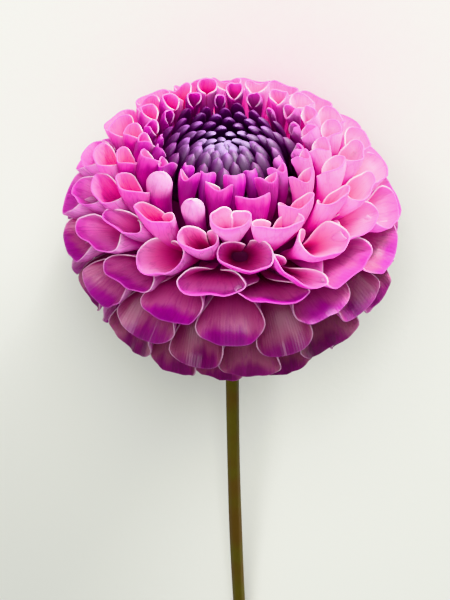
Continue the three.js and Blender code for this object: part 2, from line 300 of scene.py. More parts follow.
@dataclass(frozen=True)
class Rolling:
    """How a flat petal is rolled, in shares of its length, its half width or the half turn."""

    traced: float = 1.2  # how far round the section is traced
    trace_steps: int = 240
    keel_reach: float = 0.08  # how far from the midrib its fold reaches
    curl_start: float = 0.62  # where the edges start to roll in
    closed: tuple[float, float] = (0.90, 0.97)  # from a shell to a tube, by the stage's closing
    lap: float = 0.07  # how far one edge of a tube lies over the other
    lap_start: float = 0.8
    lap_tuck: float = 2.0
    tip_round: float = 2.3  # the power of a shell's rounded tip
    tip_slant: float = 1.8  # the power of a tube's slanting mouth
    slant_share: float = 0.85
    notch_width: float = 0.26
    opened_at: float = 0.85  # where along its length it has opened out
    opening: tuple[float, float] = (0.8, 2.5)  # the power it opens by, for a shell and for a tube
    opening_closings: tuple[float, float] = (0.60, 0.95)
    root_closing: tuple[float, float] = (0.95, 1.0)  # how far its root is closed
    root_width: float = 0.3
    hood_start: float = 0.80
    hood_drawn: float = 0.998
    deepest: float = 0.97  # the turn that gives the roll's depth
    flat_spread: float = 0.5  # how much it widens where it is pressed flat
    shell_flat: float = 0.6  # how much flatter a shell is near its root
    shell_hollow: tuple[float, float, float] = (0.4, 0.45, 1.5)  # start, length and power


@dataclass(frozen=True)
class PaintedSunlight:
    """Painted light: a highlight on the lit right of the bloom, a glow shining through on its left."""

    pale_florets: tuple[float, ...] = (84, 100, 144, 160)
    lit_shares: tuple[float, ...] = (0.2, 1.0, 1.0, 0.0)
    hot_florets: tuple[float, ...] = (96, 106, 130, 142)
    glow_shares: tuple[float, ...] = (0.0, 1.0, 1.0, 0.0)
    bearing_rad: float = 0.25  # how far behind the right-hand side it stands
    slope: float = 2.2  # how sharply the light falls off round the bloom
    lit_start: float = 1.1
    glow_start: float = 0.9
    spread: float = 0.2
    hood_start: float = 0.68  # a petal closed to a ball is pale from here on
    hood_length: float = 0.18


SPREAD = Spread()
ROLLING = Rolling()
PAINTED_SUNLIGHT = PaintedSunlight()


def set_round(
    bearing: float, radius: np.ndarray, sideways: np.ndarray, height: np.ndarray
) -> np.ndarray:
    """Set places down round the bloom's axis.

    Args:
        bearing: Where their plane stands round the axis, in radians from the front.
        radius: Distances from the axis, along the plane.
        sideways: Distances from the plane.
        height: Heights on the axis.

    Returns:
        The places in the flower's frame, in one more dimension of three.
    """
    sine, cosine = math.sin(bearing), math.cos(bearing)
    return np.stack([radius * sine + sideways * cosine, -radius * cosine + sideways * sine, height], -1)


@dataclass(frozen=True)
class Grid:
    """A floret's surface as a grid, rows from root to tip and columns from edge to edge."""

    places: np.ndarray
    along: np.ndarray
    side: np.ndarray
    rim: np.ndarray


class Floret:
    """One floret of the bloom: a flat tongue rolled into a tube, cup or shell."""

    def __init__(self, index: int) -> None:
        """Set the floret's stage and its small irregularities.

        Args:
            index: Its number on the spiral, from the middle of the bloom.
        """
        stage = stage_at(index)
        self.index = index
        turned = PHASE_DEG + (index - PHASE_FLORET) * GOLDEN_ANGLE_DEG
        self.bearing = math.radians(turned + SPREAD.bearing_deg * draw(index, Draw.BEARING))
        crown = float(np.interp(index, CROWN_FLORETS, CROWN_SHARES))
        backward = -math.cos(self.bearing) * crown
        lean = stage.lean + CROWN_LEAN_DEG * backward
        self.stage = replace(
            stage,
            height=stage.height + CROWN_RISE * backward,
            lean=lean + SPREAD.lean_deg * draw(index, Draw.LEAN),
            length=stage.length * (1 + SPREAD.length * draw(index, Draw.LENGTH)),
            half_width=stage.half_width * (1 + SPREAD.half_width * draw(index, Draw.HALF_WIDTH)),
            closing=stage.closing + SPREAD.closing * draw(index, Draw.CLOSING),
            flat=stage.flat * (1 + SPREAD.flat * draw(index, Draw.FLAT)),
            notch=stage.notch * (1 + SPREAD.notch * draw(index, Draw.NOTCH)),
            twist=stage.twist + SPREAD.twist_deg * draw(index, Draw.TWIST),
        )
        closing = self.stage.closing
        self.place = index / LAST_FLORET
        self.shade = 0.5 + 0.5 * draw(index, Draw.SHADE)
        self.skew = SPREAD.skew * draw(index, Draw.SKEW)
        self.rolled = float(np.interp(closing, ROLLING.closed, (0.0, 1.0)))
        self.lap = math.copysign(ROLLING.lap * self.rolled, draw(index, Draw.LAP))
        self.opening = float(np.interp(closing, ROLLING.opening_closings, ROLLING.opening))
        self.shift = float(np.interp(index, SHIFT_FLORETS, (CENTRE_SHIFT, CENTRE_SHIFT, 0.0)))
        # Painted light: paler where the lamp falls, hotter crimson where light would shine through.
        self.pale = self.paleness()

    def paleness(self) -> float:
        """Give how much painted highlight the floret gets, most on the bloom's right-hand side.

        Returns:
            A share up to 1, and down to -1 for the painted glow on petals of the left-hand side.
        """
        sun = PAINTED_SUNLIGHT
        ring = float(np.interp(self.index, sun.pale_florets, sun.lit_shares))
        sunny = 0.5 + 0.5 * math.sin(self.bearing - sun.bearing_rad)
        light = sun.slope * sunny - sun.lit_start + sun.spread * draw(self.index, Draw.PALENESS)
        pale = max(PAINTED_HIGHLIGHT_PORTRAITS.get(self.index, 0.0), ring * min(max(light, 0.0), 1.0))
        if pale > 0.0:
            return pale
        cover = float(np.interp(self.index, sun.hot_florets, sun.glow_shares))
        return -cover * min(max(-sun.slope * math.sin(self.bearing) - sun.glow_start, 0.0), 1.0)

    def painted_light_along(self, along: np.ndarray) -> np.ndarray:
        """Spread the painted light over the petal; on a closed ball of a petal only its end gets it.

        Args:
            along: Shares of the length.

        Returns:
            A share from -1 to 1 at each of them.
        """
        covered = np.clip((along - PAINTED_SUNLIGHT.hood_start) / PAINTED_SUNLIGHT.hood_length, 0, 1)
        return self.pale * (1 + (covered - 1) * min(self.stage.hood, 1.0))

    def section(self, turns: np.ndarray) -> tuple[np.ndarray, np.ndarray]:
        """Trace the rolled cross-section of a petal whose half width is 1.

        Args:
            turns: Shares of the half turn from the midrib, at the origin, to the edge.

        Returns:
            The places across and inwards.
        """
        stage, roll = self.stage, ROLLING
        steps = np.linspace(0.0, roll.traced, roll.trace_steps + 1)
        keel = math.radians(stage.keel) * (1 - np.exp(-steps / roll.keel_reach)) * (1 - steps)
        rolled_in = np.clip((steps - roll.curl_start) / (1 - roll.curl_start), 0, roll.traced)
        way = math.pi * steps - stage.oval / 2 * np.sin(2 * math.pi * np.minimum(steps, 1)) + keel
        way = way + math.radians(stage.curl) * rolled_in**2
        step = steps[1]
        cosines = (np.cos(way[1:]) + np.cos(way[:-1])) / 2 * step
        sines = (np.sin(way[1:]) + np.sin(way[:-1])) / 2 * step
        across = np.concatenate(([0.0], np.cumsum(cosines)))
        inward = np.concatenate(([0.0], np.cumsum(sines)))
        across = across - np.interp(1.0, steps, across) * steps**2
        return np.interp(turns, steps, across), np.interp(turns, steps, inward)

    def midrib(self, along: np.ndarray) -> tuple[np.ndarray, np.ndarray, np.ndarray]:
        """Follow the floret's own curve, an arc in a plane through the bloom's axis.

        Args:
            along: Shares of its length.

        Returns:
            Radius, height and direction from the axis, in radians, at each share.
        """
        stage = self.stage
        start = math.atan2(stage.radius / ROUND_RADIUS, stage.height / ROUND_HEIGHT)
        bend = math.radians(stage.lean) - start
        angle = start + bend * along
        mouth = start + bend * MOUTH_PLACE
        reach = stage.length / bend
        radius = stage.radius + reach * (math.cos(mouth) - np.cos(angle))
        height = stage.height + reach * (np.sin(angle) - math.sin(mouth))
        return radius, height, angle

    def tip(self, side: np.ndarray) -> np.ndarray:
        """Give the share of the length at which the petal ends, across its width.

        Args:
            side: Places across, from -1 to 1.

        Returns:
            The shares of the length.
        """
        stage, roll = self.stage, ROLLING
        curve = np.sqrt(np.clip(1 - np.abs(side) ** roll.tip_round, 0, 1))
        slant = 1 - np.abs(side) ** roll.tip_slant
        curve = curve + (slant - curve) * roll.slant_share * self.rolled
        notch = stage.notch * np.exp(-((side / roll.notch_width) ** 2))
        return 1 - stage.rounding * (1 - curve) - notch + self.skew * side * np.abs(side)

    def surface(self, along: np.ndarray, side: np.ndarray) -> np.ndarray:
        """Place points of the petal's middle surface in the flower's frame.

        Args:
            along: Shares of the length, from root to tip.
            side: Places across, from -1 to 1, of the same shape.

        Returns:
            The places in millimetres, in one more dimension of three.
        """
        stage, roll = self.stage, ROLLING
        opened = np.minimum(along / roll.opened_at, 1)
        shut = min(max(stage.closing, roll.root_closing[0]), roll.root_closing[1])
        turn = shut + (stage.closing - shut) * opened**self.opening
        turn = turn * (1 + self.lap * side)
        widened = roll.root_width + (1 - roll.root_width) * opened**stage.flare
        drawn = np.clip((along - roll.hood_start) / (1 - roll.hood_start), 0, 1)
        hooded = 1 - stage.hood * (1 - np.sqrt(1 - roll.hood_drawn * drawn**2))
        scale = stage.half_width * widened * hooded / turn
        across, inward = self.section(np.abs(side) * turn)
        lapped = np.clip(np.abs(side) * turn - roll.lap_start, 0, 1) * (self.lap * side > 0)
        tucked = 1 - roll.lap_tuck * np.abs(self.lap) * lapped
        across, inward = across * tucked, inward * tucked
        depth = self.section(np.minimum(turn, roll.deepest))[1]
        x = np.sign(side) * across * scale * (1 + (1 - stage.flat) * roll.flat_spread * opened)
        start, length, power = roll.shell_hollow
        hollow = np.clip((along - start) / length, 0, 1) ** power
        pressed = 1 - roll.shell_flat * (1 - self.rolled) * (1 - hollow)
        y = (inward - depth / 2) * scale * (1 + (stage.flat - 1) * opened) * pressed
        y = y + self.ruffle(side) * scale * opened**4
        twist = math.radians(stage.twist)
        sideways = x * math.cos(twist) - y * math.sin(twist)
        inwards = x * math.sin(twist) + y * math.cos(twist)
        mid_radius, mid_height, angle = self.midrib(along)
        radius = mid_radius - np.cos(angle) * inwards
        height = mid_height + np.sin(angle) * inwards
        return self.set_down(radius, sideways, height)

    def set_down(self, radius: np.ndarray, sideways: np.ndarray, height: np.ndarray) -> np.ndarray:
        """Turn places beside the floret's own plane to the flower's frame.

        Args:
            radius: Distances from the axis, along the plane.
            sideways: Distances from the plane.
            height: Heights on the axis.

        Returns:
            The places, in one more dimension of three.
        """
        return set_round(self.bearing, radius, sideways, height) + (self.shift, 0.0, 0.0)

    def ruffle(self, side: np.ndarray) -> np.ndarray:
        """Wave the petal's edge in and out.

        Args:
            side: Places across, from -1 to 1.

        Returns:
            The wave's height for a petal of scale 1.
        """
        start = RUFFLE_START * draw(self.index, Draw.RUFFLE)
        return sum(tall * np.sin(count * side + late * start) for tall, count, late in RUFFLE)

    def grid(self, rows: int, columns: int) -> Grid:
        """Cover the petal's surface with a grid.

        Args:
            rows: Steps from root to tip.
            columns: Steps from edge to edge.

        Returns:
            The grid.
        """
        even = np.linspace(-1, 1, columns + 1)
        closer = np.sign(even) * (1 - (1 - np.abs(even)) ** EDGE_CROWDING)
        side = np.broadcast_to(closer, (rows + 1, columns + 1))
        share = 1 - (1 - np.linspace(0, 1, rows + 1)[:, None]) ** EDGE_CROWDING
        share = np.broadcast_to(share, side.shape)
        along = share * self.tip(side)
        to_tip = (1 - share) * self.tip(side) * self.stage.length
        rim = np.minimum(to_tip, (1 - np.abs(side)) * self.stage.half_width)
        return Grid(self.surface(along, side), along, side, rim)


def square_to(places: np.ndarray) -> np.ndarray:
    """Find the direction square to a gridded surface at each of its points.

    Args:
        places: The grid of places.

    Returns:
        Unit directions towards the inside of the roll.
    """
    lengthwise = np.gradient(places, axis=0)
    crosswise = np.gradient(places, axis=1)
    square = np.cross(crosswise, lengthwise)
    size = np.linalg.norm(square, axis=-1, keepdims=True)
    return -square / np.maximum(size, 1e-9)


# ---------------------------------------------------------------------------------------------
# Colour and material
# ---------------------------------------------------------------------------------------------


def linear(hex_colour: str) -> tuple[float, float, float, float]:
    """Turn a screen colour into a linear one.

    Args:
        hex_colour: The colour as "#rrggbb".

    Returns:
        Linear red, green and blue with full opacity.
    """
    parts = [int(hex_colour[i : i + 2], 16) / 255 for i in (1, 3, 5)]
    light = [p / 12.92 if p <= 0.04045 else ((p + 0.055) / 1.055) ** 2.4 for p in parts]
    return light[0], light[1], light[2], 1.0


Stops = tuple[tuple[float, str], ...]


@dataclass(frozen=True)
class PetalFinish:
    """Colours of the ray petals from root (0) to tip (1), on the inner and the outer face.

    Tube, cup, bowl, shell and skirt are the bloom's rings from the middle outwards. Young petals
    stand round the closed florets. Painted glow makes those on the left hot, and painted
    highlight makes those on the right pale.
    """

    # On the inner faces the colours darken towards the root: painted shade deep in tubes and cups.
    inner_tube: Stops = (
        (0.0, "#4a0018"), (0.42, "#8c0044"), (0.70, "#d00c80"), (0.86, "#f04cbc"), (1.0, "#fbbce8"),
    )
    young: Stops = (
        (0.0, "#54083c"), (0.40, "#6c0a58"), (0.72, "#740a6a"), (0.90, "#981c8c"), (1.0, "#e08cd0"),
    )
    inner_cup: Stops = (
        (0.0, "#78042c"), (0.42, "#a80858"), (0.58, "#d82090"), (0.74, "#ec48ac"),
        (0.90, "#f060c0"), (1.0, "#e038b8"),
    )
    inner_bowl: Stops = (
        (0.0, "#8c0a40"), (0.36, "#b8387c"), (0.58, "#d0589c"), (0.74, "#d06cae"),
        (0.90, "#cc56b0"), (1.0, "#d234b0"),
    )
    # The next three rows are painted light: a glow on the left, a highlight on the right.
    inner_painted_glow: Stops = (
        (0.0, "#980848"), (0.35, "#d01078"), (0.60, "#ea1c9c"), (0.78, "#f048b0"),
        (0.90, "#f470c8"), (1.0, "#f4a0dc"),
    )
    painted_lit_inner: Stops = (
        (0.0, "#b01058"), (0.40, "#e6509c"), (0.62, "#f894ca"), (0.82, "#fcc0e6"),
        (0.94, "#fba8e2"), (1.0, "#f270d2"),
    )
    painted_lit_outer: Stops = (
        (0.0, "#c81c88"), (0.45, "#e850b8"), (0.72, "#fcbcec"), (0.90, "#fcbcec"), (1.0, "#f588da"),
    )
    inner_shell: Stops = (
        (0.0, "#54062a"), (0.40, "#7c1c48"), (0.56, "#a44676"), (0.78, "#a85282"),
        (0.89, "#921280"), (1.0, "#7c0472"),
    )
    inner_skirt: Stops = (
        (0.0, "#401426"), (0.40, "#7a4056"), (0.76, "#8c4e68"), (0.88, "#680e50"),
        (1.0, "#500040"),
    )
    outer_tube: Stops = (
        (0.0, "#7c0060"), (0.35, "#800062"), (0.78, "#8c0670"), (0.92, "#cc48a8"), (1.0, "#fcc4e8"),
    )
    # Its bright root is partly the petal's own magenta, partly a painted glow of light shining through.
    outer_cup: Stops = (
        (0.0, "#d0107c"), (0.35, "#e03cac"), (0.65, "#f094d8"), (0.88, "#f080d4"), (1.0, "#e038c0"),
    )
    outer_margin: Stops = (
        (0.0, "#a81c84"), (0.50, "#dc60bc"), (0.85, "#f4a0dc"), (1.0, "#fcd0ee"),
    )
    outer_skirt: Stops = (
        (0.0, "#844068"), (0.40, "#c490b4"), (0.74, "#c080ae"), (0.89, "#962088"), (1.0, "#801078"),
    )
    # The pale rim is partly the thin edge's own colour and partly a painted highlight on its roll.
    rim_side: str = "#fdeaf6"
    rim_tip: str = "#d85cc0"
    rim_low: str = "#c070b4"
    rim_highlight_glow: float = 0.45  # how strong the glow beside the edge is, at the petal's sides
    rim_patches: tuple[float, float] = (1.1, 0.35)  # how much clouds break it up, and what is left
    low_rim_fade: float = 0.85
    vein_dark: str = "#7a0a64"
    vein_share: float = 0.35
    shades: tuple[float, float] = (0.2, 0.90)  # how much petals differ, and the darkest one
    streak_drift: float = 0.24  # how far streaks and clouds move the colours along the petal
    cloud_drift: float = 0.20
    side_drift: float = -0.34  # how far the colours bend towards the root at the sides
    roughness: float = 0.46
    glow: float = 0.50
    petal_mm: tuple[float, float] = (22.1, 16.0)  # a wide petal laid flat: its width and length
    rib_mm: float = 0.65
    rib_height: float = 0.35
    streak_mm: tuple[float, float] = (1.7, 10.0)  # width and length
    cloud_mm: tuple[float, float] = (10.045, 8.0)
    grain_mm: float = 0.22  # a skin cell is 0.05 mm, too fine to show
    relief_mm: float = 0.05


@dataclass(frozen=True)
class CentreFinish:
    """Colours of the closed florets from root to tip: all round, at the edge and in the middle."""

    shade: Stops = (
        (0.0, "#0e0214"), (0.45, "#1e0424"), (0.72, "#340a38"), (0.90, "#4e1c54"), (1.0, "#744080"),
    )
    edge: Stops = (
        (0.0, "#160214"), (0.45, "#280226"), (0.75, "#380036"), (0.93, "#4c044a"), (1.0, "#641060"),
    )
    # The pale lilac of the middle row is a painted highlight on the dome's top.
    middle: Stops = (
        (0.0, "#160820"), (0.45, "#362042"), (0.72, "#5a4068"), (0.90, "#7e648c"), (1.0, "#a48eb4"),
    )
    shades: tuple[float, float] = (0.4, 0.8)
    streak_drift: float = 0.35
    roughness: float = 0.58
    glow: float = 0.1
    floret_mm: tuple[float, float] = (7.2, 9.0)  # a closed floret's girth and length
    streak_mm: tuple[float, float] = (0.8, 6.0)
    grain_mm: float = 0.25
    relief_mm: float = 0.08


@dataclass(frozen=True)
class GreenFinish:
    """Colours of a green part of the plant, with the flush that sun gives it."""

    base: str
    light: str
    flush: str
    flush_share: float
    roughness: float
    fibre_mm: float
    veins: float = 0.0
    tip_share: float = 0.0
    vein_share: float = 0.35
    pith: str = "#b9bd8a"
    fibre_stretch: tuple[float, float, float] = (1.0, 0.08, 1.0)  # fibres run along the stem
    glow: float = 0.06
    patch_mm: float = 8.333
    relief_mm: float = 0.06


CALYX_GREEN = GreenFinish("#5c7046", "#889a5c", "#7c4a52", 0.3, 0.6, 0.5, veins=2.5, tip_share=0.5)
PAPERY_GREEN = GreenFinish(
    "#8f9c58", "#b4b67c", "#8a4a68", 0.5, 0.55, 0.4, veins=4.0, tip_share=0.7
)
STEM_BROWN = GreenFinish("#463e10", "#5e5418", "#58321a", 0.85, 0.55, 0.4)


@dataclass(frozen=True)
class FloorFinish:
    """Colours of the surface that the flower lies on."""

    base: str = "#dcdcd6"
    cloud: str = "#c8c9c3"
    cloud_share: float = 0.12
    cloud_mm: float = 55.56
    grit_mm: float = 1.111
    roughness: float = 0.85
    glow: float = 0.0
    relief_mm: float = 0.02


Finish = PetalFinish | CentreFinish | GreenFinish | FloorFinish
Socket = bpy.types.NodeSocket

# Light goes about 1.6 mm into plant tissue, red the furthest and green the least.
SOAK_DEPTH = 1.6 * MM
SOAK_COLOURS = (1.0, 0.45, 0.85)
RELIEF_STRENGTH = 0.6

# A share that goes smoothly from 0 to 1 as a value passes from one number to another.
SMOOTH = {"interpolation_type": "SMOOTHSTEP"}

# A mixing node's own numbers: the share of the second, both colours, both values, and the
# mixed colour that it puts out.
SHARE, FIRST, SECOND, FIRST_VALUE, SECOND_VALUE = 0, 6, 7, 2, 3
MIXED = 2

# How far apart in a noise petals of different shades lie, so that no two have the same streaks.
STREAKS_APART = 40.0
CLOUDS_APART = 23.0
FLORETS_APART = 31.0

# How much finer detail a noise has.
SOFT = 2.0
UNEVEN = 3.0
FIBROUS = 4.0


class Ring(Enum):
    """Where on the spiral a look begins and where it is full, as shares of the last floret."""

    INNER_CUP = (0.46, 0.56)
    INNER_BOWL = (0.56, 0.62)
    INNER_SHELL = (0.68, 0.75)
    INNER_SKIRT = (0.76, 0.86)
    INNER_YOUNG = (0.45, 0.32)
    OUTER_CUP = (0.49, 0.60)
    OUTER_SKIRT = (0.68, 0.80)
    OUTER_YOUNG = (0.49, 0.36)
    PALE_MARGIN = (0.76, 0.66)
    MAUVE_RIM = (0.66, 0.78)
    LONG_RIM = (0.52, 0.62)
    ANY_RIM = (0.28, 0.44)
    CENTRE_EDGE = (0.16, 0.31)
    CENTRE_MIDDLE = (0.11, 0.03)


class Mark(Enum):
    """Where on a petal a mark begins and where it is full: shares, or millimetres off the rim."""

    DRIFT_ALONG = (0.35, 0.75)
    VEINS_ALONG = (0.3, 0.9)
    SHORT_RIM_ALONG = (0.76, 0.92)
    LONG_RIM_ALONG = (0.3, 0.6)
    MARGIN_ACROSS = (0.40, 0.80)
    WHITE_RIM_ACROSS = (0.35, 0.8)
    OUTER_FACE = (0.4, 0.6)
    VEIN_OFF_STREAK = (0.035, 0.0)
    RIM_LINE_MM = (0.34, 0.0)
    RIM_HIGHLIGHT_GLOW_MM = (1.8, 0.0)
    GREEN_VEIN = (0.75, 1.0)
    GREEN_TIP = (0.72, 1.0)
    GREEN_FLUSH = (0.40, 0.68)


class Shader:
    """A node material under construction.

    Its index of refraction stays at 1.5, which is near that of leaf wax, and it isn't metallic.
    """

    def __init__(self, name: str) -> None:
        """Start a material that holds only its surface shader.

        Args:
            name: The material's name.
        """
        self.material = bpy.data.materials.new(name)
        self.material.use_nodes = True
        self.tree = self.material.node_tree
        self.surface = next(n for n in self.tree.nodes if n.type == "BSDF_PRINCIPLED")

    def add(
        self,
        kind: str,
        inputs: dict[int | str, object] | tuple[object, ...] = (),
        output: int | str = 0,
        stops: Stops = (),
        **settings: object,
    ) -> Socket:
        """Add a node with its settings and links.

        Args:
            kind: The node's type, without the word that all types start with.
            inputs: Values or sockets, in order or by the input's name or number.
            output: Name or number of the output that is wanted.
            stops: Places and screen colours, for a row of colours.
            settings: The node's own settings by name.

        Returns:
            The output's socket.
        """
        node = self.tree.nodes.new("ShaderNode" + kind)
        for name, value in settings.items():
            setattr(node, name, value)
        by_place = inputs if isinstance(inputs, dict) else dict(enumerate(inputs))
        for key, value in by_place.items():
            if isinstance(value, Socket):
                self.tree.links.new(value, node.inputs[key])
            else:
                node.inputs[key].default_value = value
        if stops:
            row = node.color_ramp.elements
            row[0].position, row[0].color = stops[0][0], linear(stops[0][1])
            row[1].position, row[1].color = stops[-1][0], linear(stops[-1][1])
            for place, colour in stops[1:-1]:
                row.new(place).color = linear(colour)
        return node.outputs[output]

    def read_parts(self, name: str) -> tuple[Socket, ...]:
        """Read a four-part attribute of the mesh.

        Args:
            name: The attribute's name.

        Returns:
            The sockets of its four parts.
        """
        colour = self.add("Attribute", output="Color", attribute_name=name)
        first = self.add("SeparateColor", (colour,))
        return (*first.node.outputs[:3], colour.node.outputs["Alpha"])

    def streaks(
        self,
        petal: tuple[Socket, Socket, Socket],
        petal_mm: tuple[float, float],
        streak_mm: tuple[float, float],
        apart: float,
        detail: float,
    ) -> Socket:
        """Read a noise that lies along a petal, different on each petal.

        Args:
            petal: Sockets of the place across, the place along and the petal's own shade.
            petal_mm: The petal's width and length.
            streak_mm: A streak's width and length.
            apart: How far apart in the noise petals of different shades lie.
            detail: The noise's detail.

        Returns:
            The noise's socket.
        """
        counts = (petal_mm[0] / streak_mm[0], petal_mm[1] / streak_mm[1], apart)
        parts = [self.add("Math", pair, operation="MULTIPLY") for pair in zip(petal, counts)]
        spot = self.add("CombineXYZ", tuple(parts))
        return self.add("TexNoise", {"Vector": spot, "Scale": 1.0, "Detail": detail})

    def cover(self, under: Socket, stops: Stops, by: Socket, share: Socket) -> Socket:
        """Lay a row of colours over the colour that is there.

        Args:
            under: The colour that is there.
            stops: The row of colours.
            by: What the row is read by.
            share: How much of it shows.

        Returns:
            The colour's socket.
        """
        over = self.add("ValToRGB", (by,), stops=stops)
        return self.add("Mix", {SHARE: share, FIRST: under, SECOND: over}, MIXED, data_type="RGBA")

    def dress(self, colour: Socket, relief: Socket, finish: Finish) -> bpy.types.Material:
        """Finish the surface shader.

        Args:
            colour: The base colour.
            relief: Height of the fine relief.
            finish: The finish that gives the roughness, the glow and the relief's depth.

        Returns:
            The material.
        """
        shader = self.surface.inputs
        self.tree.links.new(colour, shader["Base Color"])
        shader["Roughness"].default_value = finish.roughness
        shader["Subsurface Weight"].default_value = finish.glow
        shader["Subsurface Radius"].default_value = SOAK_COLOURS
        shader["Subsurface Scale"].default_value = SOAK_DEPTH
        depth = finish.relief_mm * MM
        normal = self.add(
            "Bump", {"Height": relief, "Strength": RELIEF_STRENGTH, "Distance": depth}, "Normal"
        )
        self.tree.links.new(normal, shader["Normal"])
        return self.material


class PetalMaterial(Shader):
    """Living petal, as it grows: a thin moist skin over watery cells, finely ribbed lengthwise."""

    # It looks matt, with a soft sheen along the ribs. Light soaks through it, so its shaded sides
    # stay magenta. Streaks run from root to tip, and the edge is nearly white, partly its own colour
    # and partly a painted highlight.

    def __init__(self, finish: PetalFinish) -> None:
        """Read the petals' attributes and patterns.

        Args:
            finish: The colours and the relief.
        """
        super().__init__("ray_petal")
        self.finish = finish
        self.along, self.across, self.place, self.outer = self.read_parts("petal")
        self.rim, self.shade, self.side, sunny = self.read_parts("accent")
        # The paleness is a painted highlight, and its negative, hot, a painted glow of light shining
        # through.
        self.pale = self.add("Math", (sunny, 0.0), operation="MAXIMUM")
        shady = self.add("Math", (sunny, -1.0), operation="MULTIPLY")
        self.painted_glow = self.add("Math", (shady, 0.0), operation="MAXIMUM")
        petal = (self.side, self.along, self.shade)
        self.streak = self.streaks(petal, finish.petal_mm, finish.streak_mm, STREAKS_APART, FIBROUS)
        self.cloud = self.streaks(petal, finish.petal_mm, finish.cloud_mm, CLOUDS_APART, SOFT)
        self.reach = self.read_reach()

    def read_reach(self) -> Socket:
        """Read the place along the petal as its colours follow it, uneven and bent at the sides.

        Returns:
            The share of the length.
        """
        finish = self.finish
        level = -(finish.streak_drift + finish.cloud_drift) / 2
        drift = self.add("Math", (self.cloud, finish.cloud_drift, level), operation="MULTIPLY_ADD")
        drift = self.add("Math", (self.streak, finish.streak_drift, drift), operation="MULTIPLY_ADD")
        grown = self.add("MapRange", (self.along, *Mark.DRIFT_ALONG.value), **SMOOTH)
        drift = self.add("Math", (drift, grown), operation="MULTIPLY")
        sides = self.add("Math", (self.across, 2.0), operation="POWER")
        bent = self.add("Math", (sides, finish.side_drift, self.along), operation="MULTIPLY_ADD")
        return self.add("Math", (bent, drift), operation="ADD")

    def ring_by_ring(self, colour: Socket, rings: tuple[tuple[Ring, Stops, Socket], ...]) -> Socket:
        """Lay rows of colours over each other, each from its own ring of the bloom on.

        Args:
            colour: The colour under them.
            rings: Ring, row of colours and what the row is read by.

        Returns:
            The colour's socket.
        """
        for ring, stops, by in rings:
            share = self.add("MapRange", (self.place, *ring.value), **SMOOTH)
            colour = self.cover(colour, stops, by, share)
        return colour

    def inner_face(self) -> Socket:
        """Colour the inner face.

        Returns:
            The colour's socket.
        """
        finish, along, reach = self.finish, self.along, self.reach
        colour = self.add("ValToRGB", (along,), stops=finish.inner_tube)
        rings = (
            (Ring.INNER_CUP, finish.inner_cup, along),
            (Ring.INNER_BOWL, finish.inner_bowl, along),
            (Ring.INNER_SHELL, finish.inner_shell, reach),
            (Ring.INNER_SKIRT, finish.inner_skirt, reach),
            (Ring.INNER_YOUNG, finish.young, reach),
        )
        colour = self.ring_by_ring(colour, rings)
        # Painted highlight on the lit side, painted glow on the other.
        colour = self.cover(colour, finish.painted_lit_inner, along, self.pale)
        return self.cover(colour, finish.inner_painted_glow, along, self.painted_glow)

    def outer_face(self) -> Socket:
        """Colour the outer face.

        Returns:
            The colour's socket.
        """
        finish, along, reach = self.finish, self.along, self.reach
        colour = self.add("ValToRGB", (reach,), stops=finish.outer_tube)
        colour = self.ring_by_ring(colour, ((Ring.OUTER_CUP, finish.outer_cup, reach),))
        margin = self.add("MapRange", (self.across, *Mark.MARGIN_ACROSS.value), **SMOOTH)
        above = self.add("MapRange", (self.place, *Ring.PALE_MARGIN.value), **SMOOTH)
        margin = self.add("Math", (margin, above), operation="MULTIPLY")
        colour = self.cover(colour, finish.outer_margin, along, margin)
        rings = (
            (Ring.OUTER_SKIRT, finish.outer_skirt, reach),
            (Ring.OUTER_YOUNG, finish.young, reach),
        )
        colour = self.ring_by_ring(colour, rings)
        # Painted highlight on the lit side.
        return self.cover(colour, finish.painted_lit_outer, reach, self.pale)

    def draw_veins(self, colour: Socket) -> Socket:
        """Draw thin dark veins where the streaks change over.

        Args:
            colour: The colour under them.

        Returns:
            The colour's socket.
        """
        off = self.add("Math", (self.streak, 0.5), operation="SUBTRACT")
        off = self.add("Math", (off,), operation="ABSOLUTE")
        vein = self.add("MapRange", (off, *Mark.VEIN_OFF_STREAK.value), **SMOOTH)
        grown = self.add("MapRange", (self.along, *Mark.VEINS_ALONG.value), **SMOOTH)
        grown = self.add("Math", (grown, self.finish.vein_share), operation="MULTIPLY")
        share = self.add("Math", (vein, grown), operation="MULTIPLY")
        dark = linear(self.finish.vein_dark)
        return self.add("Mix", {SHARE: share, FIRST: colour, SECOND: dark}, MIXED, data_type="RGBA")

    def draw_rim_and_highlight(self, colour: Socket) -> Socket:
        """Draw the pale edge, part own colour and part painted highlight: a line and a soft glow beside
        it.

        Args:
            colour: The colour under it.

        Returns:
            The colour's socket.
        """
        finish = self.finish
        low = self.add("MapRange", (self.place, *Ring.MAUVE_RIM.value), **SMOOTH)
        ends = {SHARE: low, FIRST: linear(finish.rim_tip), SECOND: linear(finish.rim_low)}
        tip = self.add("Mix", ends, MIXED, data_type="RGBA")
        sides = self.add("MapRange", (self.across, *Mark.WHITE_RIM_ACROSS.value), **SMOOTH)
        ends = {SHARE: sides, FIRST: tip, SECOND: linear(finish.rim_side)}
        edge = self.add("Mix", ends, MIXED, data_type="RGBA")
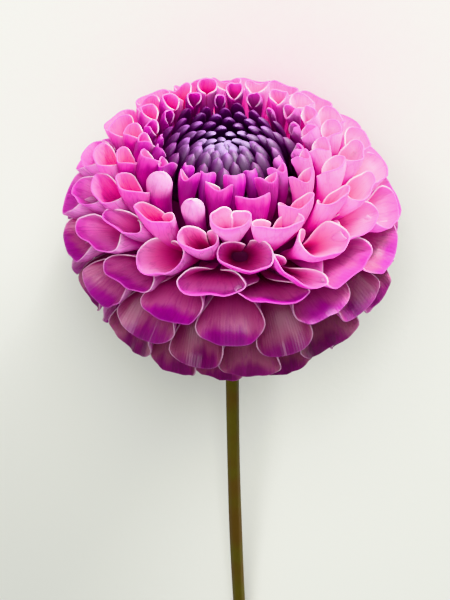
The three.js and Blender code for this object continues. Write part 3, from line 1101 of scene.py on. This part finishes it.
        # The line and the glow beside it are painted highlight, over the edge's own paler colour.
        line = self.add("MapRange", (self.rim, *Mark.RIM_LINE_MM.value), **SMOOTH)
        glow = self.add("MapRange", (self.rim, *Mark.RIM_HIGHLIGHT_GLOW_MM.value), **SMOOTH)
        wide = self.add("Math", (self.across, finish.rim_highlight_glow), operation="MULTIPLY")
        glow = self.add("Math", (glow, wide), operation="MULTIPLY")
        amount = self.add("Math", (line, glow), operation="MAXIMUM")
        long_ring = self.add("MapRange", (self.place, *Ring.LONG_RIM.value), **SMOOTH)
        short = self.add("MapRange", (self.along, *Mark.SHORT_RIM_ALONG.value), **SMOOTH)
        long = self.add("MapRange", (self.along, *Mark.LONG_RIM_ALONG.value), **SMOOTH)
        for share in (
            self.add("Math", (low, -finish.low_rim_fade, 1.0), operation="MULTIPLY_ADD"),
            self.add("Mix", {SHARE: long_ring, FIRST_VALUE: short, SECOND_VALUE: long}),
            self.add("MapRange", (self.place, *Ring.ANY_RIM.value), **SMOOTH),
            self.add("Math", (self.cloud, *finish.rim_patches), operation="MULTIPLY_ADD"),
        ):
            amount = self.add("Math", (amount, share), operation="MULTIPLY")
        return self.add("Mix", {SHARE: amount, FIRST: colour, SECOND: edge}, MIXED, data_type="RGBA")

    def build(self) -> bpy.types.Material:
        """Make the material.

        Returns:
            The material.
        """
        finish = self.finish
        outside = self.add("MapRange", (self.outer, *Mark.OUTER_FACE.value), **SMOOTH)
        faces = {SHARE: outside, FIRST: self.inner_face(), SECOND: self.outer_face()}
        colour = self.add("Mix", faces, MIXED, data_type="RGBA")
        colour = self.draw_rim_and_highlight(self.draw_veins(colour))
        value = self.add("Math", (self.shade, *finish.shades), operation="MULTIPLY_ADD")
        colour = self.add("HueSaturation", {"Color": colour, "Value": value})
        turns = 2 * math.pi * finish.petal_mm[0] / finish.rib_mm
        ribs = self.add("Math", (self.side, turns), operation="MULTIPLY")
        ribs = self.add("Math", (ribs,), operation="SINE")
        spot = self.add("TexCoord", output="Object")
        scale = 1 / (finish.grain_mm * MM)
        grain = self.add("TexNoise", {"Vector": spot, "Scale": scale, "Detail": SOFT})
        relief = self.add("Math", (ribs, finish.rib_height, grain), operation="MULTIPLY_ADD")
        return self.dress(colour, relief, finish)


def centre_material(finish: CentreFinish) -> bpy.types.Material:
    """Make the material of the closed florets: young petal tissue, still tight and waxy.

    Args:
        finish: Its colours and its relief.

    Returns:
        The material.
    """
    # It looks darker and duller than an open petal, bloomy like a plum where the light meets it. The
    # lilac in the middle of the dome is a painted highlight.
    shader = Shader("closed_floret")
    along, _, place, _ = shader.read_parts("petal")
    _, shade, side, _ = shader.read_parts("accent")
    floret = (side, along, shade)
    streak = shader.streaks(
        floret, finish.floret_mm, finish.streak_mm, FLORETS_APART, UNEVEN
    )
    level = -finish.streak_drift / 2
    drift = shader.add("Math", (streak, finish.streak_drift, level), operation="MULTIPLY_ADD")
    reach = shader.add("Math", (along, drift), operation="ADD")
    colour = shader.add("ValToRGB", (reach,), stops=finish.shade)
    # The middle ring's lilac is a painted highlight.
    for ring, stops in ((Ring.CENTRE_EDGE, finish.edge), (Ring.CENTRE_MIDDLE, finish.middle)):
        share = shader.add("MapRange", (place, *ring.value), **SMOOTH)
        colour = shader.cover(colour, stops, reach, share)
    value = shader.add("Math", (shade, *finish.shades), operation="MULTIPLY_ADD")
    colour = shader.add("HueSaturation", {"Color": colour, "Value": value})
    spot = shader.add("TexCoord", output="Object")
    scale = 1 / (finish.grain_mm * MM)
    grain = shader.add("TexNoise", {"Vector": spot, "Scale": scale, "Detail": SOFT})
    relief = shader.add("Math", (grain, streak), operation="ADD")
    return shader.dress(colour, relief, finish)


def green_material(name: str, finish: GreenFinish) -> bpy.types.Material:
    """Make the material of a green part: leaf or stem skin, fibrous, with a thin coat of wax.

    Args:
        name: The material's name.
        finish: Its colours and its relief.

    Returns:
        The material.
    """
    # It looks satin rather than wet, with fibres along it and a reddish flush where sun reached it.
    shader = Shader(name)
    pith = shader.read_parts("petal")[0]
    along, _, side, _ = shader.read_parts("accent")
    spot = shader.add("TexCoord", output="Object")
    stretched = shader.add("Mapping", {"Vector": spot, "Scale": finish.fibre_stretch})
    scale = 1 / (finish.fibre_mm * MM)
    fibre = shader.add("TexNoise", {"Vector": stretched, "Scale": scale, "Detail": UNEVEN})
    scale = 1 / (finish.patch_mm * MM)
    patch = shader.add("TexNoise", {"Vector": spot, "Scale": scale, "Detail": UNEVEN})
    flush = shader.add("MapRange", (patch, *Mark.GREEN_FLUSH.value), **SMOOTH)
    flush = shader.add("Math", (flush, finish.flush_share), operation="MULTIPLY")
    fan = shader.add("Math", (side, 0.5), operation="SUBTRACT")
    fan = shader.add("Math", (fan, 2 * math.pi * finish.veins), operation="MULTIPLY")
    fan = shader.add("Math", (fan,), operation="COSINE")
    vein = shader.add("MapRange", (fan, *Mark.GREEN_VEIN.value), **SMOOTH)
    vein = shader.add("Math", (vein, finish.vein_share), operation="MULTIPLY")
    tip = shader.add("MapRange", (along, *Mark.GREEN_TIP.value), **SMOOTH)
    tip = shader.add("Math", (tip, finish.tip_share), operation="MULTIPLY")
    colour = linear(finish.base)
    for share, over in (
        (fibre, finish.light), (flush, finish.flush), (vein, finish.light),
        (tip, finish.flush), (pith, finish.pith),
    ):
        colours = {SHARE: share, FIRST: colour, SECOND: linear(over)}
        colour = shader.add("Mix", colours, MIXED, data_type="RGBA")
    relief = shader.add("Math", (fibre, vein), operation="ADD")
    return shader.dress(colour, relief, finish)


def floor_material(finish: FloorFinish) -> bpy.types.Material:
    """Make the material of the floor: matt painted board, rolled, with a faint grit.

    Args:
        finish: Its colours and its relief.

    Returns:
        The material.
    """
    # It looks even and dull, so that nothing but the flower's shadow shows on it.
    shader = Shader("pale_floor")
    spot = shader.add("TexCoord", output="Object")
    cloud, grit = (
        shader.add("TexNoise", {"Vector": spot, "Scale": 1 / (size * MM), "Detail": SOFT})
        for size in (finish.cloud_mm, finish.grit_mm)
    )
    share = shader.add("Math", (cloud, finish.cloud_share), operation="MULTIPLY")
    colours = {SHARE: share, FIRST: linear(finish.base), SECOND: linear(finish.cloud)}
    colour = shader.add("Mix", colours, MIXED, data_type="RGBA")
    return shader.dress(colour, grit, finish)


# ---------------------------------------------------------------------------------------------
# Pieces
# ---------------------------------------------------------------------------------------------

# What the materials read at each point, as two attributes of four parts. For a petal these are
# the place along it, off its midrib and in the bloom, and which face it is; then the distance
# from its rim, its own shade, the place across it and the painted light on it.
Marks = tuple[np.ndarray, np.ndarray]
MARK_NAMES = ("petal", "accent")

# The shade of what isn't a petal, and the place in its middle.
EVEN_SHADE = 0.4
MIDDLE = 0.5

# The draws that slant lumps stand this far past those that start them.
SLANT_DRAWS = 20


def border(rows: int, columns: int) -> tuple[np.ndarray, np.ndarray]:
    """Walk round three sides of a grid, from root to root by way of the tip.

    Args:
        rows: Points from root to tip.
        columns: Points from edge to edge.

    Returns:
        The rows and columns of the points passed.
    """
    up, over = np.arange(rows), np.arange(1, columns - 1)
    row = np.concatenate([up, np.full(len(over), rows - 1), up[::-1]])
    column = np.concatenate([np.zeros(rows, int), over, np.full(rows, columns - 1)])
    return row, column


def plain_marks(
    places: np.ndarray, along: float | np.ndarray, place: float | np.ndarray, rim: float = 0.0
) -> Marks:
    """Give even attributes for a skin that isn't a petal.

    Args:
        places: The grid of places.
        along: What stands for the place along a petal.
        place: What stands for the place in the bloom.
        rim: What stands for the distance from a petal's rim.

    Returns:
        The two attributes on the grid.
    """
    even = np.ones(places.shape[:2])
    petal = np.stack([even * along, even * 0, even * place, even * 0], -1)
    accent = np.stack([even * rim, even * EVEN_SHADE, even * MIDDLE, even * 0], -1)
    return petal, accent


class MeshMaker:
    """Gathers sheets and skins into one mesh, with their attributes."""

    def __init__(self) -> None:
        """Start with nothing."""
        self.places: list[np.ndarray] = []
        self.faces: list[np.ndarray] = []
        self.marks: list[Marks] = []
        self.count = 0

    def skin(self, places: np.ndarray, marks: Marks, closed: bool, flip: bool = False) -> None:
        """Add a gridded skin.

        Args:
            places: The grid of places in millimetres.
            marks: The two attributes, on the same grid.
            closed: Whether the last column joins the first.
            flip: Whether the faces are turned round.
        """
        rows, columns = places.shape[:2]
        row = np.arange(rows - 1)[:, None] * columns
        here = np.arange(columns if closed else columns - 1)[None, :]
        there = (here + 1) % columns
        corners = (row + here, row + there, row + columns + there, row + columns + here)
        quads = np.stack(corners, -1).reshape(-1, 4) + self.count
        self.faces.append(quads[:, ::-1] if flip else quads)
        self.places.append(places.reshape(-1, 3))
        self.marks.append(tuple(values.reshape(-1, 4) for values in marks))
        self.count += rows * columns

    def leaf(self, places: np.ndarray, thickness: float) -> None:
        """Add a thin leaf with two faces and a rim.

        Args:
            places: The grid of its middle surface, from root to tip, in millimetres.
            thickness: How thick it is.
        """
        rows, columns = places.shape[:2]
        square = square_to(places) * thickness
        along = np.linspace(0, 1, rows)[:, None] * np.ones(columns)
        side = np.linspace(-1, 1, columns) * np.ones((rows, 1))
        zero = np.zeros((rows, columns))
        petal = np.stack([zero, np.abs(side), zero, zero], -1)
        accent = np.stack([along, zero + EVEN_SHADE, side * 0.5 + 0.5, zero], -1)
        for lift in (0.5, -0.5):
            self.skin(places + square * lift, (petal, accent), closed=False, flip=lift > 0)
        edge = border(rows, columns)
        strip = np.stack([(places + square * lift)[edge] for lift in (0.5, -0.5)])
        shape = (*strip.shape[:2], 4)
        marks = tuple(np.broadcast_to(values[edge], shape) for values in (petal, accent))
        self.skin(strip, marks, closed=False)

    def build(self, name: str, material: bpy.types.Material, node: str) -> bpy.types.Object:
        """Make the object and hand it to the frame.

        Args:
            name: The piece's name.
            material: Its material.
            node: The node of the frame that it stands for.

        Returns:
            The object.
        """
        mesh = bpy.data.meshes.new(name)
        places = POSE.to_world(np.concatenate(self.places))
        mesh.from_pydata(places.tolist(), [], np.concatenate(self.faces).tolist())
        for label, parts in zip(MARK_NAMES, zip(*self.marks)):
            layer = mesh.attributes.new(label, "FLOAT_COLOR", "POINT")
            layer.data.foreach_set("color", np.concatenate(parts).astype(np.float32).ravel())
        mesh.polygons.foreach_set("use_smooth", [True] * len(mesh.polygons))
        mesh.materials.append(material)
        piece = bpy.data.objects.new(name, mesh)
        bpy.context.scene.collection.objects.link(piece)
        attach(piece, "root")
        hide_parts(node)
        LOG.info("%s: %d faces for %s", name, len(mesh.polygons), node)
        return piece


class Zone(Enum):
    """The rings of ray petals, by their first floret and the one after their last."""

    INNER_TUBES = (70, 104)
    OPEN_CUPS = (104, 138)
    WIDE_SHELLS = (138, 172)
    HANGING_SKIRT = (172, LAST_FLORET + 1)


@dataclass
class RayPetals:
    """The ray petals of one ring, each a thin sheet with two faces and a rim."""

    zone: Zone
    material: bpy.types.Material
    rows: int = 22
    columns: int = 30
    thickness: float = 0.42
    rim_thickness: float = 0.20
    rim_reach: float = 2.5  # a petal gets thinner from this far inside its rim

    def sheet(self, maker: MeshMaker, index: int) -> None:
        """Add one petal.

        Args:
            maker: The mesh that takes it.
            index: The floret's number.
        """
        floret = Floret(index)
        grid = floret.grid(self.rows, self.columns)
        thicker = (self.thickness - self.rim_thickness) * np.minimum(grid.rim / self.rim_reach, 1)
        square = square_to(grid.places) * (self.rim_thickness + thicker)[..., None]
        for outer, lift in ((0.0, 0.5), (1.0, -0.5)):
            marks = self.marks(floret, grid, outer)
            maker.skin(grid.places + square * lift, marks, closed=False, flip=lift > 0)
        edge = border(*grid.along.shape)
        strip = np.stack([grid.places[edge] + square[edge] * lift for lift in (0.5, 0.0, -0.5)])
        petal, accent = self.marks(floret, grid, 0.5)
        on_rim = (petal[edge], accent[edge] * (0, 1, 1, 1))
        marks = tuple(np.broadcast_to(values, (*strip.shape[:2], 4)) for values in on_rim)
        maker.skin(strip, marks, closed=False, flip=True)

    def marks(self, floret: Floret, grid: Grid, outer: float) -> Marks:
        """Give the attributes of one face.

        Args:
            floret: The floret.
            grid: Its grid.
            outer: 0 on the inner face and 1 on the outer one.

        Returns:
            The two attributes on the grid.
        """
        even = np.ones(grid.along.shape)
        # The painted light on this petal, for the material.
        painted_light_along = floret.painted_light_along(grid.along)
        petal = np.stack([grid.along, np.abs(grid.side), even * floret.place, even * outer], -1)
        accent = np.stack([grid.rim, even * floret.shade, grid.side * 0.5 + 0.5, painted_light_along], -1)
        return petal, accent

    def build(self) -> bpy.types.Object:
        """Make the ring's petals.

        Returns:
            The piece.
        """
        maker = MeshMaker()
        for index in range(*self.zone.value):
            self.sheet(maker, index)
        return maker.build(self.zone.name.lower(), self.material, "petals")


@dataclass(frozen=True)
class Profile:
    """A closed skin turned round the bloom's axis, by radius and height along its outline."""

    outline: tuple[tuple[float, float], ...]
    columns: int = 96
    rows_per_point: int = 4
    waves: tuple[int, ...] = (3, 5, 8, 13)  # how many lumps of each kind stand round the axis
    start: float = 3.0  # how far draws move the lumps round
    slant: float = 0.7  # and how far, for each millimetre along the outline
    level_within: float = 4.0  # nearer to the axis than this the lumps get lower

    def grid(self, lumps: float, seed: int) -> np.ndarray:
        """Turn the outline round the axis, with soft lumps.

        Args:
            lumps: Height of the lumps in millimetres.
            seed: Which draws shape them.

        Returns:
            The grid of places.
        """
        line = np.array(self.outline)
        steps = np.linalg.norm(np.diff(line, axis=0), axis=1)
        length = np.concatenate([[0], np.cumsum(steps)])
        at = np.linspace(0, length[-1], self.rows_per_point * len(line))
        radius = np.interp(at, length, line[:, 0])[:, None]
        height = np.interp(at, length, line[:, 1])[:, None]
        bearing = np.linspace(0, 2 * math.pi, self.columns, endpoint=False)
        wave = np.zeros((len(at), self.columns))
        for count in self.waves:
            slant = self.slant * draw(seed, count + SLANT_DRAWS) * at[:, None]
            wave += np.sin(count * bearing + self.start * draw(seed, count) + slant)
        level = np.minimum(radius / self.level_within, 1)
        radius = np.maximum(radius + lumps * wave / len(self.waves) * level, 0)
        height = np.broadcast_to(height, radius.shape)
        return np.stack([radius * np.sin(bearing), -radius * np.cos(bearing), height], -1)


@dataclass
class Receptacle:
    """The solid heart of the bloom that the ray petals grow from."""

    material: bpy.types.Material
    outline: tuple[tuple[float, float], ...] = (
        (0, -14), (8, -14), (13.0, -11.5), (15.5, -6), (16.2, 0), (15.6, 5), (14, 9), (11.5, 12),
        (0, 13),
    )
    lumps: float = 0.3
    seed: int = 11
    heights: tuple[float, float] = (-9, 0)  # from here to here it takes on these looks of petals
    looks: tuple[float, float] = (0.95, 0.3)
    rim: float = 9.0  # no pale rim shows this far from one

    def build(self) -> bpy.types.Object:
        """Make the heart.

        Returns:
            The piece.
        """
        maker = MeshMaker()
        grid = Profile(self.outline).grid(self.lumps, self.seed)
        # It takes the petals' dark root colours, so where it shows between them it is painted shade.
        look = np.interp(grid[..., 2], self.heights, self.looks)
        maker.skin(grid, plain_marks(grid, 0.0, look, self.rim), closed=True)
        return maker.build("receptacle", self.material, "petals")


@dataclass
class CentreFlorets:
    """The button of closed florets in the bloom's hollow."""

    material: bpy.types.Material
    count: int = 70
    rows: int = 14
    columns: int = 14
    outline: tuple[tuple[float, float], ...] = (
        (0, 8.3), (9, 8.3), (12, 12), (11.4, 13.4), (8.6, 14.6), (6.4, 15.4), (3.8, 15.8),
        (1.8, 15.9), (0, 16.0),
    )
    lumps: float = 0.1
    seed: int = 12
    bed_along: float = 0.1  # the florets' bed looks like them at this place
    bed_place: float = 0.2
    root_width: float = 0.55
    full_width_at: float = 0.4
    taper_start: float = 0.45
    taper_power: float = 2.6
    tip_width: float = 0.02
    plump: float = 0.52
    belly: float = 0.12
    keels: float = 0.05

    def tongue(self, maker: MeshMaker, index: int) -> None:
        """Add one closed floret, a plump scale with a keel and a blunt tip.

        Args:
            maker: The mesh that takes it.
            index: The floret's number.
        """
        floret = Floret(index)
        share = np.linspace(0, 1, self.rows + 1)
        taper = np.clip((share - self.taper_start) / (1 - self.taper_start), 0, 1)
        girth = floret.stage.half_width * np.sqrt(1 - taper**self.taper_power)
        girth = girth * np.interp(share, (0, self.full_width_at), (self.root_width, 1))
        girth[-1] = self.tip_width
        turn = np.linspace(0, 2 * math.pi, self.columns, endpoint=False)
        section = self.plump * np.sin(turn) + self.belly * np.cos(2 * turn)
        section = section + self.keels * np.cos(6 * turn)
        inwards = girth[:, None] * section
        mid_radius, mid_height, angle = (values[:, None] for values in floret.midrib(share))
        places = floret.set_down(
            mid_radius - np.cos(angle) * inwards,
            girth[:, None] * np.cos(turn),
            mid_height + np.sin(angle) * inwards,
        )
        even = np.ones(places.shape[:2])
        edge = np.abs(np.cos(turn))
        petal = np.stack([even * share[:, None], even * edge, even * floret.place, even], -1)
        accent = np.stack([even, even * floret.shade, even * turn / (2 * math.pi), even], -1)
        maker.skin(places, (petal, accent), closed=True, flip=True)

    def build(self) -> bpy.types.Object:
        """Make the button.

        Returns:
            The piece.
        """
        maker = MeshMaker()
        grid = Profile(self.outline).grid(self.lumps, self.seed)
        marks = plain_marks(grid, self.bed_along, self.bed_place)
        maker.skin(grid + (CENTRE_SHIFT, 0, 0), marks, closed=True)
        for index in range(self.count):
            self.tongue(maker, index)
        return maker.build("closed_centre", self.material, "centre_florets")


@dataclass
class Calyx:
    """The green cup under the bloom, with its bracts."""

    material: bpy.types.Material
    outline: tuple[tuple[float, float], ...] = (
        (0, -20.6), (2.4, -20.6), (3.2, -19.4), (5.4, -17.8), (7.4, -15.6), (7.8, -14.3),
        (0, -14.3),
    )
    columns: int = 64
    lumps: float = 0.15
    seed: int = 13
    bracts: int = 7
    first_bract: float = 0.3  # its bearing from the front, for a step of 1 between bracts
    points: tuple[int, int] = (15, 11)
    root_radius: float = 4.2
    root_height: float = -17.8
    spread: float = 5.2
    fall: float = 5.0
    fall_power: float = 1.5
    trough: float = 0.6  # how far a bract's edges stand up
    half_width: float = 2.8
    widths: tuple[tuple[float, float], ...] = ((0, 0.55), (0.3, 1.0), (0.7, 0.8), (1.0, 0.12))
    thickness: float = 0.5

    def bract(self, maker: MeshMaker, number: int) -> None:
        """Add one bract, a small leaf bent back along the stem.

        Args:
            maker: The mesh that takes it.
            number: Which of them.
        """
        along = np.linspace(0, 1, self.points[0])[:, None]
        side = np.linspace(-1, 1, self.points[1])[None, :]
        width = self.half_width * np.interp(along, *zip(*self.widths))
        bearing = 2 * math.pi * (number + self.first_bract) / self.bracts
        radius = self.root_radius + self.spread * along + 0 * side
        height = self.root_height - self.fall * along**self.fall_power + self.trough * side**2
        maker.leaf(set_round(bearing, radius, side * width, height), self.thickness)

    def build(self) -> bpy.types.Object:
        """Make the calyx.

        Returns:
            The piece.
        """
        maker = MeshMaker()
        grid = Profile(self.outline, self.columns).grid(self.lumps, self.seed)
        maker.skin(grid, plain_marks(grid, 0.0, MIDDLE), closed=True)
        for number in range(self.bracts):
            self.bract(maker, number)
        return maker.build("green_calyx", self.material, "calyx")


@dataclass
class PaperyBracts:
    """The thin inner bracts pressed against the bloom's back, round the calyx."""

    material: bpy.types.Material
    count: int = 9
    points: tuple[int, int] = (17, 13)
    inner_radius: float = 5.5
    outer_radius: float = 14.2
    bearing_spread: float = 0.15  # how far draws move a bract round, and out
    reach_spread: float = 0.05
    half_width: float = 4.6
    widths: tuple[tuple[float, float], ...] = (
        (0, 0.6), (0.35, 0.92), (0.7, 1.0), (0.88, 0.8), (1.0, 0.15),
    )
    rounding: float = 0.08
    root_height: float = -15.0
    rise: float = 2.6
    rise_power: float = 1.8
    tilt: float = 0.45  # each lies with one edge over its neighbour
    root_tilt: float = 0.3
    crumple: float = 0.12
    crumples: float = 7.0
    thickness: float = 0.3

    def bract(self, maker: MeshMaker, number: int) -> None:
        """Add one bract, a broad scale with a rounded tip.

        Args:
            maker: The mesh that takes it.
            number: Which of them.
        """
        along = np.linspace(0, 1, self.points[0])[:, None]
        side = np.linspace(-1, 1, self.points[1])[None, :]
        width = self.half_width * np.interp(along, *zip(*self.widths))
        moved = self.bearing_spread * draw(number, Draw.BRACT_BEARING)
        bearing = 2 * math.pi * (number + moved) / self.count
        end = self.outer_radius * (1 + self.reach_spread * draw(number, Draw.BRACT_REACH))
        reach = (end - self.inner_radius) * along * (1 - self.rounding * side**2)
        tilt = self.tilt * side + self.crumple * np.sin(self.crumples * along + number)
        height = self.root_height + self.rise * along**self.rise_power
        height = height + tilt * (self.root_tilt + along)
        places = set_round(bearing, self.inner_radius + reach, side * width, height)
        maker.leaf(places, self.thickness)

    def build(self) -> bpy.types.Object:
        """Make the bracts.

        Returns:
            The piece.
        """
        maker = MeshMaker()
        for number in range(self.count):
            self.bract(maker, number)
        return maker.build("papery_bracts", self.material, "calyx")


@dataclass
class Stem:
    """The cut stem, with faint ridges and a slanting cut that shows its pale pith."""

    material: bpy.types.Material
    radius: float = 1.27
    slimmer: float = 0.95  # its ridges and bulges reach out to the radius again
    line: tuple[tuple[float, float], ...] = (
        (0, -20.9), (0.1, -40), (0.5, -62), (1.2, -84), (2.3, -106),
    )
    line_power: int = 3
    ridges: int = 7
    ridge_height: float = 0.022
    ridge_twist: float = 2.0
    bulge_height: float = 0.02
    bulges: float = 13.0
    swelling: float = 0.30  # under the calyx
    swelling_reach: float = 0.035
    cut_height: float = -102.54
    cut_slope: float = 1.43
    cut_rings: tuple[float, ...] = (0.96, 0.86, 0.62, 0.30, 0.0)  # shares of the radius
    cut_dip: float = 0.25
    cut_bevel: float = 0.9
    pith_within: float = 0.99
    pith_blend: float = 0.08
    columns: int = 56
    rows: int = 150

    def build(self) -> bpy.types.Object:
        """Make the stem.

        Returns:
            The piece.
        """
        turn = np.linspace(0, 2 * math.pi, self.columns, endpoint=False)
        down = np.linspace(0, 1, self.rows)
        share = np.concatenate([down, np.ones(len(self.cut_rings))])[:, None]
        shrink = np.concatenate([np.ones(self.rows), self.cut_rings])[:, None]
        uneven = 1 + self.bulge_height * np.sin(self.bulges * share)
        uneven = uneven + self.ridge_height * np.cos(self.ridges * turn + self.ridge_twist * share)
        uneven = uneven + self.swelling * np.exp(-((share / self.swelling_reach) ** 2))
        across = self.radius * self.slimmer * uneven * shrink
        y = across * np.sin(turn)
        top = self.line[0][1]
        end = self.cut_height + self.cut_slope * y
        dip = self.cut_dip * (1 - shrink) * (shrink < self.cut_bevel)
        height = top + (end - top) * share + dip
        places = np.stack([self.middle(height) + across * np.cos(turn), y, height], -1)
        pith = np.clip((self.pith_within - shrink) / self.pith_blend, 0, 1)
        maker = MeshMaker()
        maker.skin(places, plain_marks(places, pith, MIDDLE), closed=True)
        return maker.build("flower_stem", self.material, "stem")

    def middle(self, height: np.ndarray) -> np.ndarray:
        """Follow the stem's slight bend to the right.

        Args:
            height: Heights along the axis.

        Returns:
            How far the stem's middle stands to the right at each of them.
        """
        knots = np.array(self.line)
        return np.polyval(np.polyfit(knots[:, 1], knots[:, 0], self.line_power), height)


# ---------------------------------------------------------------------------------------------
# Studio
# ---------------------------------------------------------------------------------------------


@dataclass(frozen=True)
class Lamp:
    """A soft lamp: its place from the bloom's middle, in metres in the flower's frame."""

    place: tuple[float, float, float]
    size: float
    power: float


@dataclass(frozen=True)
class Studio:
    """The pale floor, the soft light and the camera."""

    floor: FloorFinish = FloorFinish()
    floor_half: float = 2.4
    elevation_deg: float = 34.0
    distance: float = 0.400
    scale_px_mm: float = 5.617
    bloom_px: tuple[float, float] = (232.0, 231.0)
    sensor_mm: float = 36.0
    near: float = 0.01
    lamps: tuple[Lamp, ...] = (
        Lamp((0.17, 0.07, 0.31), 0.14, 5.6), Lamp((-0.05, -0.26, 0.24), 0.25, 1.4),
    )
    lamp_up: tuple[float, float, float] = (0, 1, 0.2)
    sky: str = "#dfe3df"
    sky_strength: float = 0.6
    view_transform: str = "Khronos PBR Neutral"  # the usual one greys magenta

    def middle(self) -> Vector:
        """Give the bloom's middle in metres."""
        return Vector(POSE.centre_mm) * MM

    def aim(self, thing: bpy.types.Object, place: Vector, up: Vector) -> None:
        """Place an object so that it looks at the bloom's middle.

        Args:
            thing: The camera or lamp.
            place: Where it stands.
            up: What is up in its view.
        """
        back = (place - self.middle()).normalized()
        right = up.cross(back).normalized()
        thing.location = place
        thing.rotation_mode = "QUATERNION"
        turned = Matrix((right, back.cross(right), back)).transposed()
        thing.rotation_quaternion = turned.to_quaternion()

    def build(self) -> None:
        """Make the floor, lamps, sky and camera."""
        self.make_floor()
        self.make_light()
        self.make_camera()

    def make_floor(self) -> None:
        """Make the surface that the flower lies on."""
        half = self.floor_half
        corners = [(-half, -half, 0), (half, -half, 0), (half, half, 0), (-half, half, 0)]
        mesh = bpy.data.meshes.new("floor")
        mesh.from_pydata(corners, [], [(0, 1, 2, 3)])
        mesh.materials.append(floor_material(self.floor))
        floor = bpy.data.objects.new("floor", mesh)
        bpy.context.scene.collection.objects.link(floor)

    def make_light(self) -> None:
        """Make the lamps and the sky."""
        for number, lamp in enumerate(self.lamps):
            light = bpy.data.lights.new(f"lamp_{number}", "AREA")
            light.size = lamp.size
            light.energy = lamp.power
            thing = bpy.data.objects.new(f"lamp_{number}", light)
            bpy.context.scene.collection.objects.link(thing)
            away = Vector(POSE.axes() @ np.array(lamp.place))
            self.aim(thing, self.middle() + away, POSE.direction(self.lamp_up))
        world = bpy.data.worlds.new("sky")
        bpy.context.scene.world = world
        world.use_nodes = True
        sky = next(n for n in world.node_tree.nodes if n.type == "BACKGROUND")
        sky.inputs["Color"].default_value = linear(self.sky)
        sky.inputs["Strength"].default_value = self.sky_strength
        bpy.context.scene.view_settings.view_transform = self.view_transform

    def make_camera(self) -> None:
        """Make the camera at the photograph's viewing angle."""
        rise = math.radians(self.elevation_deg)
        towards = POSE.direction((0, -math.cos(rise), math.sin(rise)))
        seen = IMAGE_HEIGHT_PX / self.scale_px_mm * MM
        camera = bpy.data.cameras.new("camera")
        camera.sensor_fit = "AUTO"
        camera.sensor_width = self.sensor_mm
        camera.lens = self.sensor_mm * self.distance / seen
        camera.shift_x = (IMAGE_WIDTH_PX / 2 - self.bloom_px[0]) / IMAGE_HEIGHT_PX
        camera.shift_y = (self.bloom_px[1] - IMAGE_HEIGHT_PX / 2) / IMAGE_HEIGHT_PX
        camera.clip_start = self.near
        thing = bpy.data.objects.new("camera", camera)
        bpy.context.scene.collection.objects.link(thing)
        bpy.context.scene.camera = thing
        self.aim(thing, self.middle() + towards * self.distance, POSE.direction((0, 0, 1)))


def main() -> None:
    """Build the flower and its surroundings."""
    logging.basicConfig(level=logging.INFO, format="%(name)s %(message)s")
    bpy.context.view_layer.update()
    petal = PetalMaterial(PetalFinish()).build()
    CentreFlorets(centre_material(CentreFinish())).build()
    Receptacle(petal).build()
    for zone in Zone:
        RayPetals(zone, petal).build()
    Calyx(green_material("calyx_green", CALYX_GREEN)).build()
    PaperyBracts(green_material("papery_green", PAPERY_GREEN)).build()
    Stem(green_material("stem_skin", STEM_BROWN)).build()
    Studio().build()


if __name__ == "__main__":
    main()
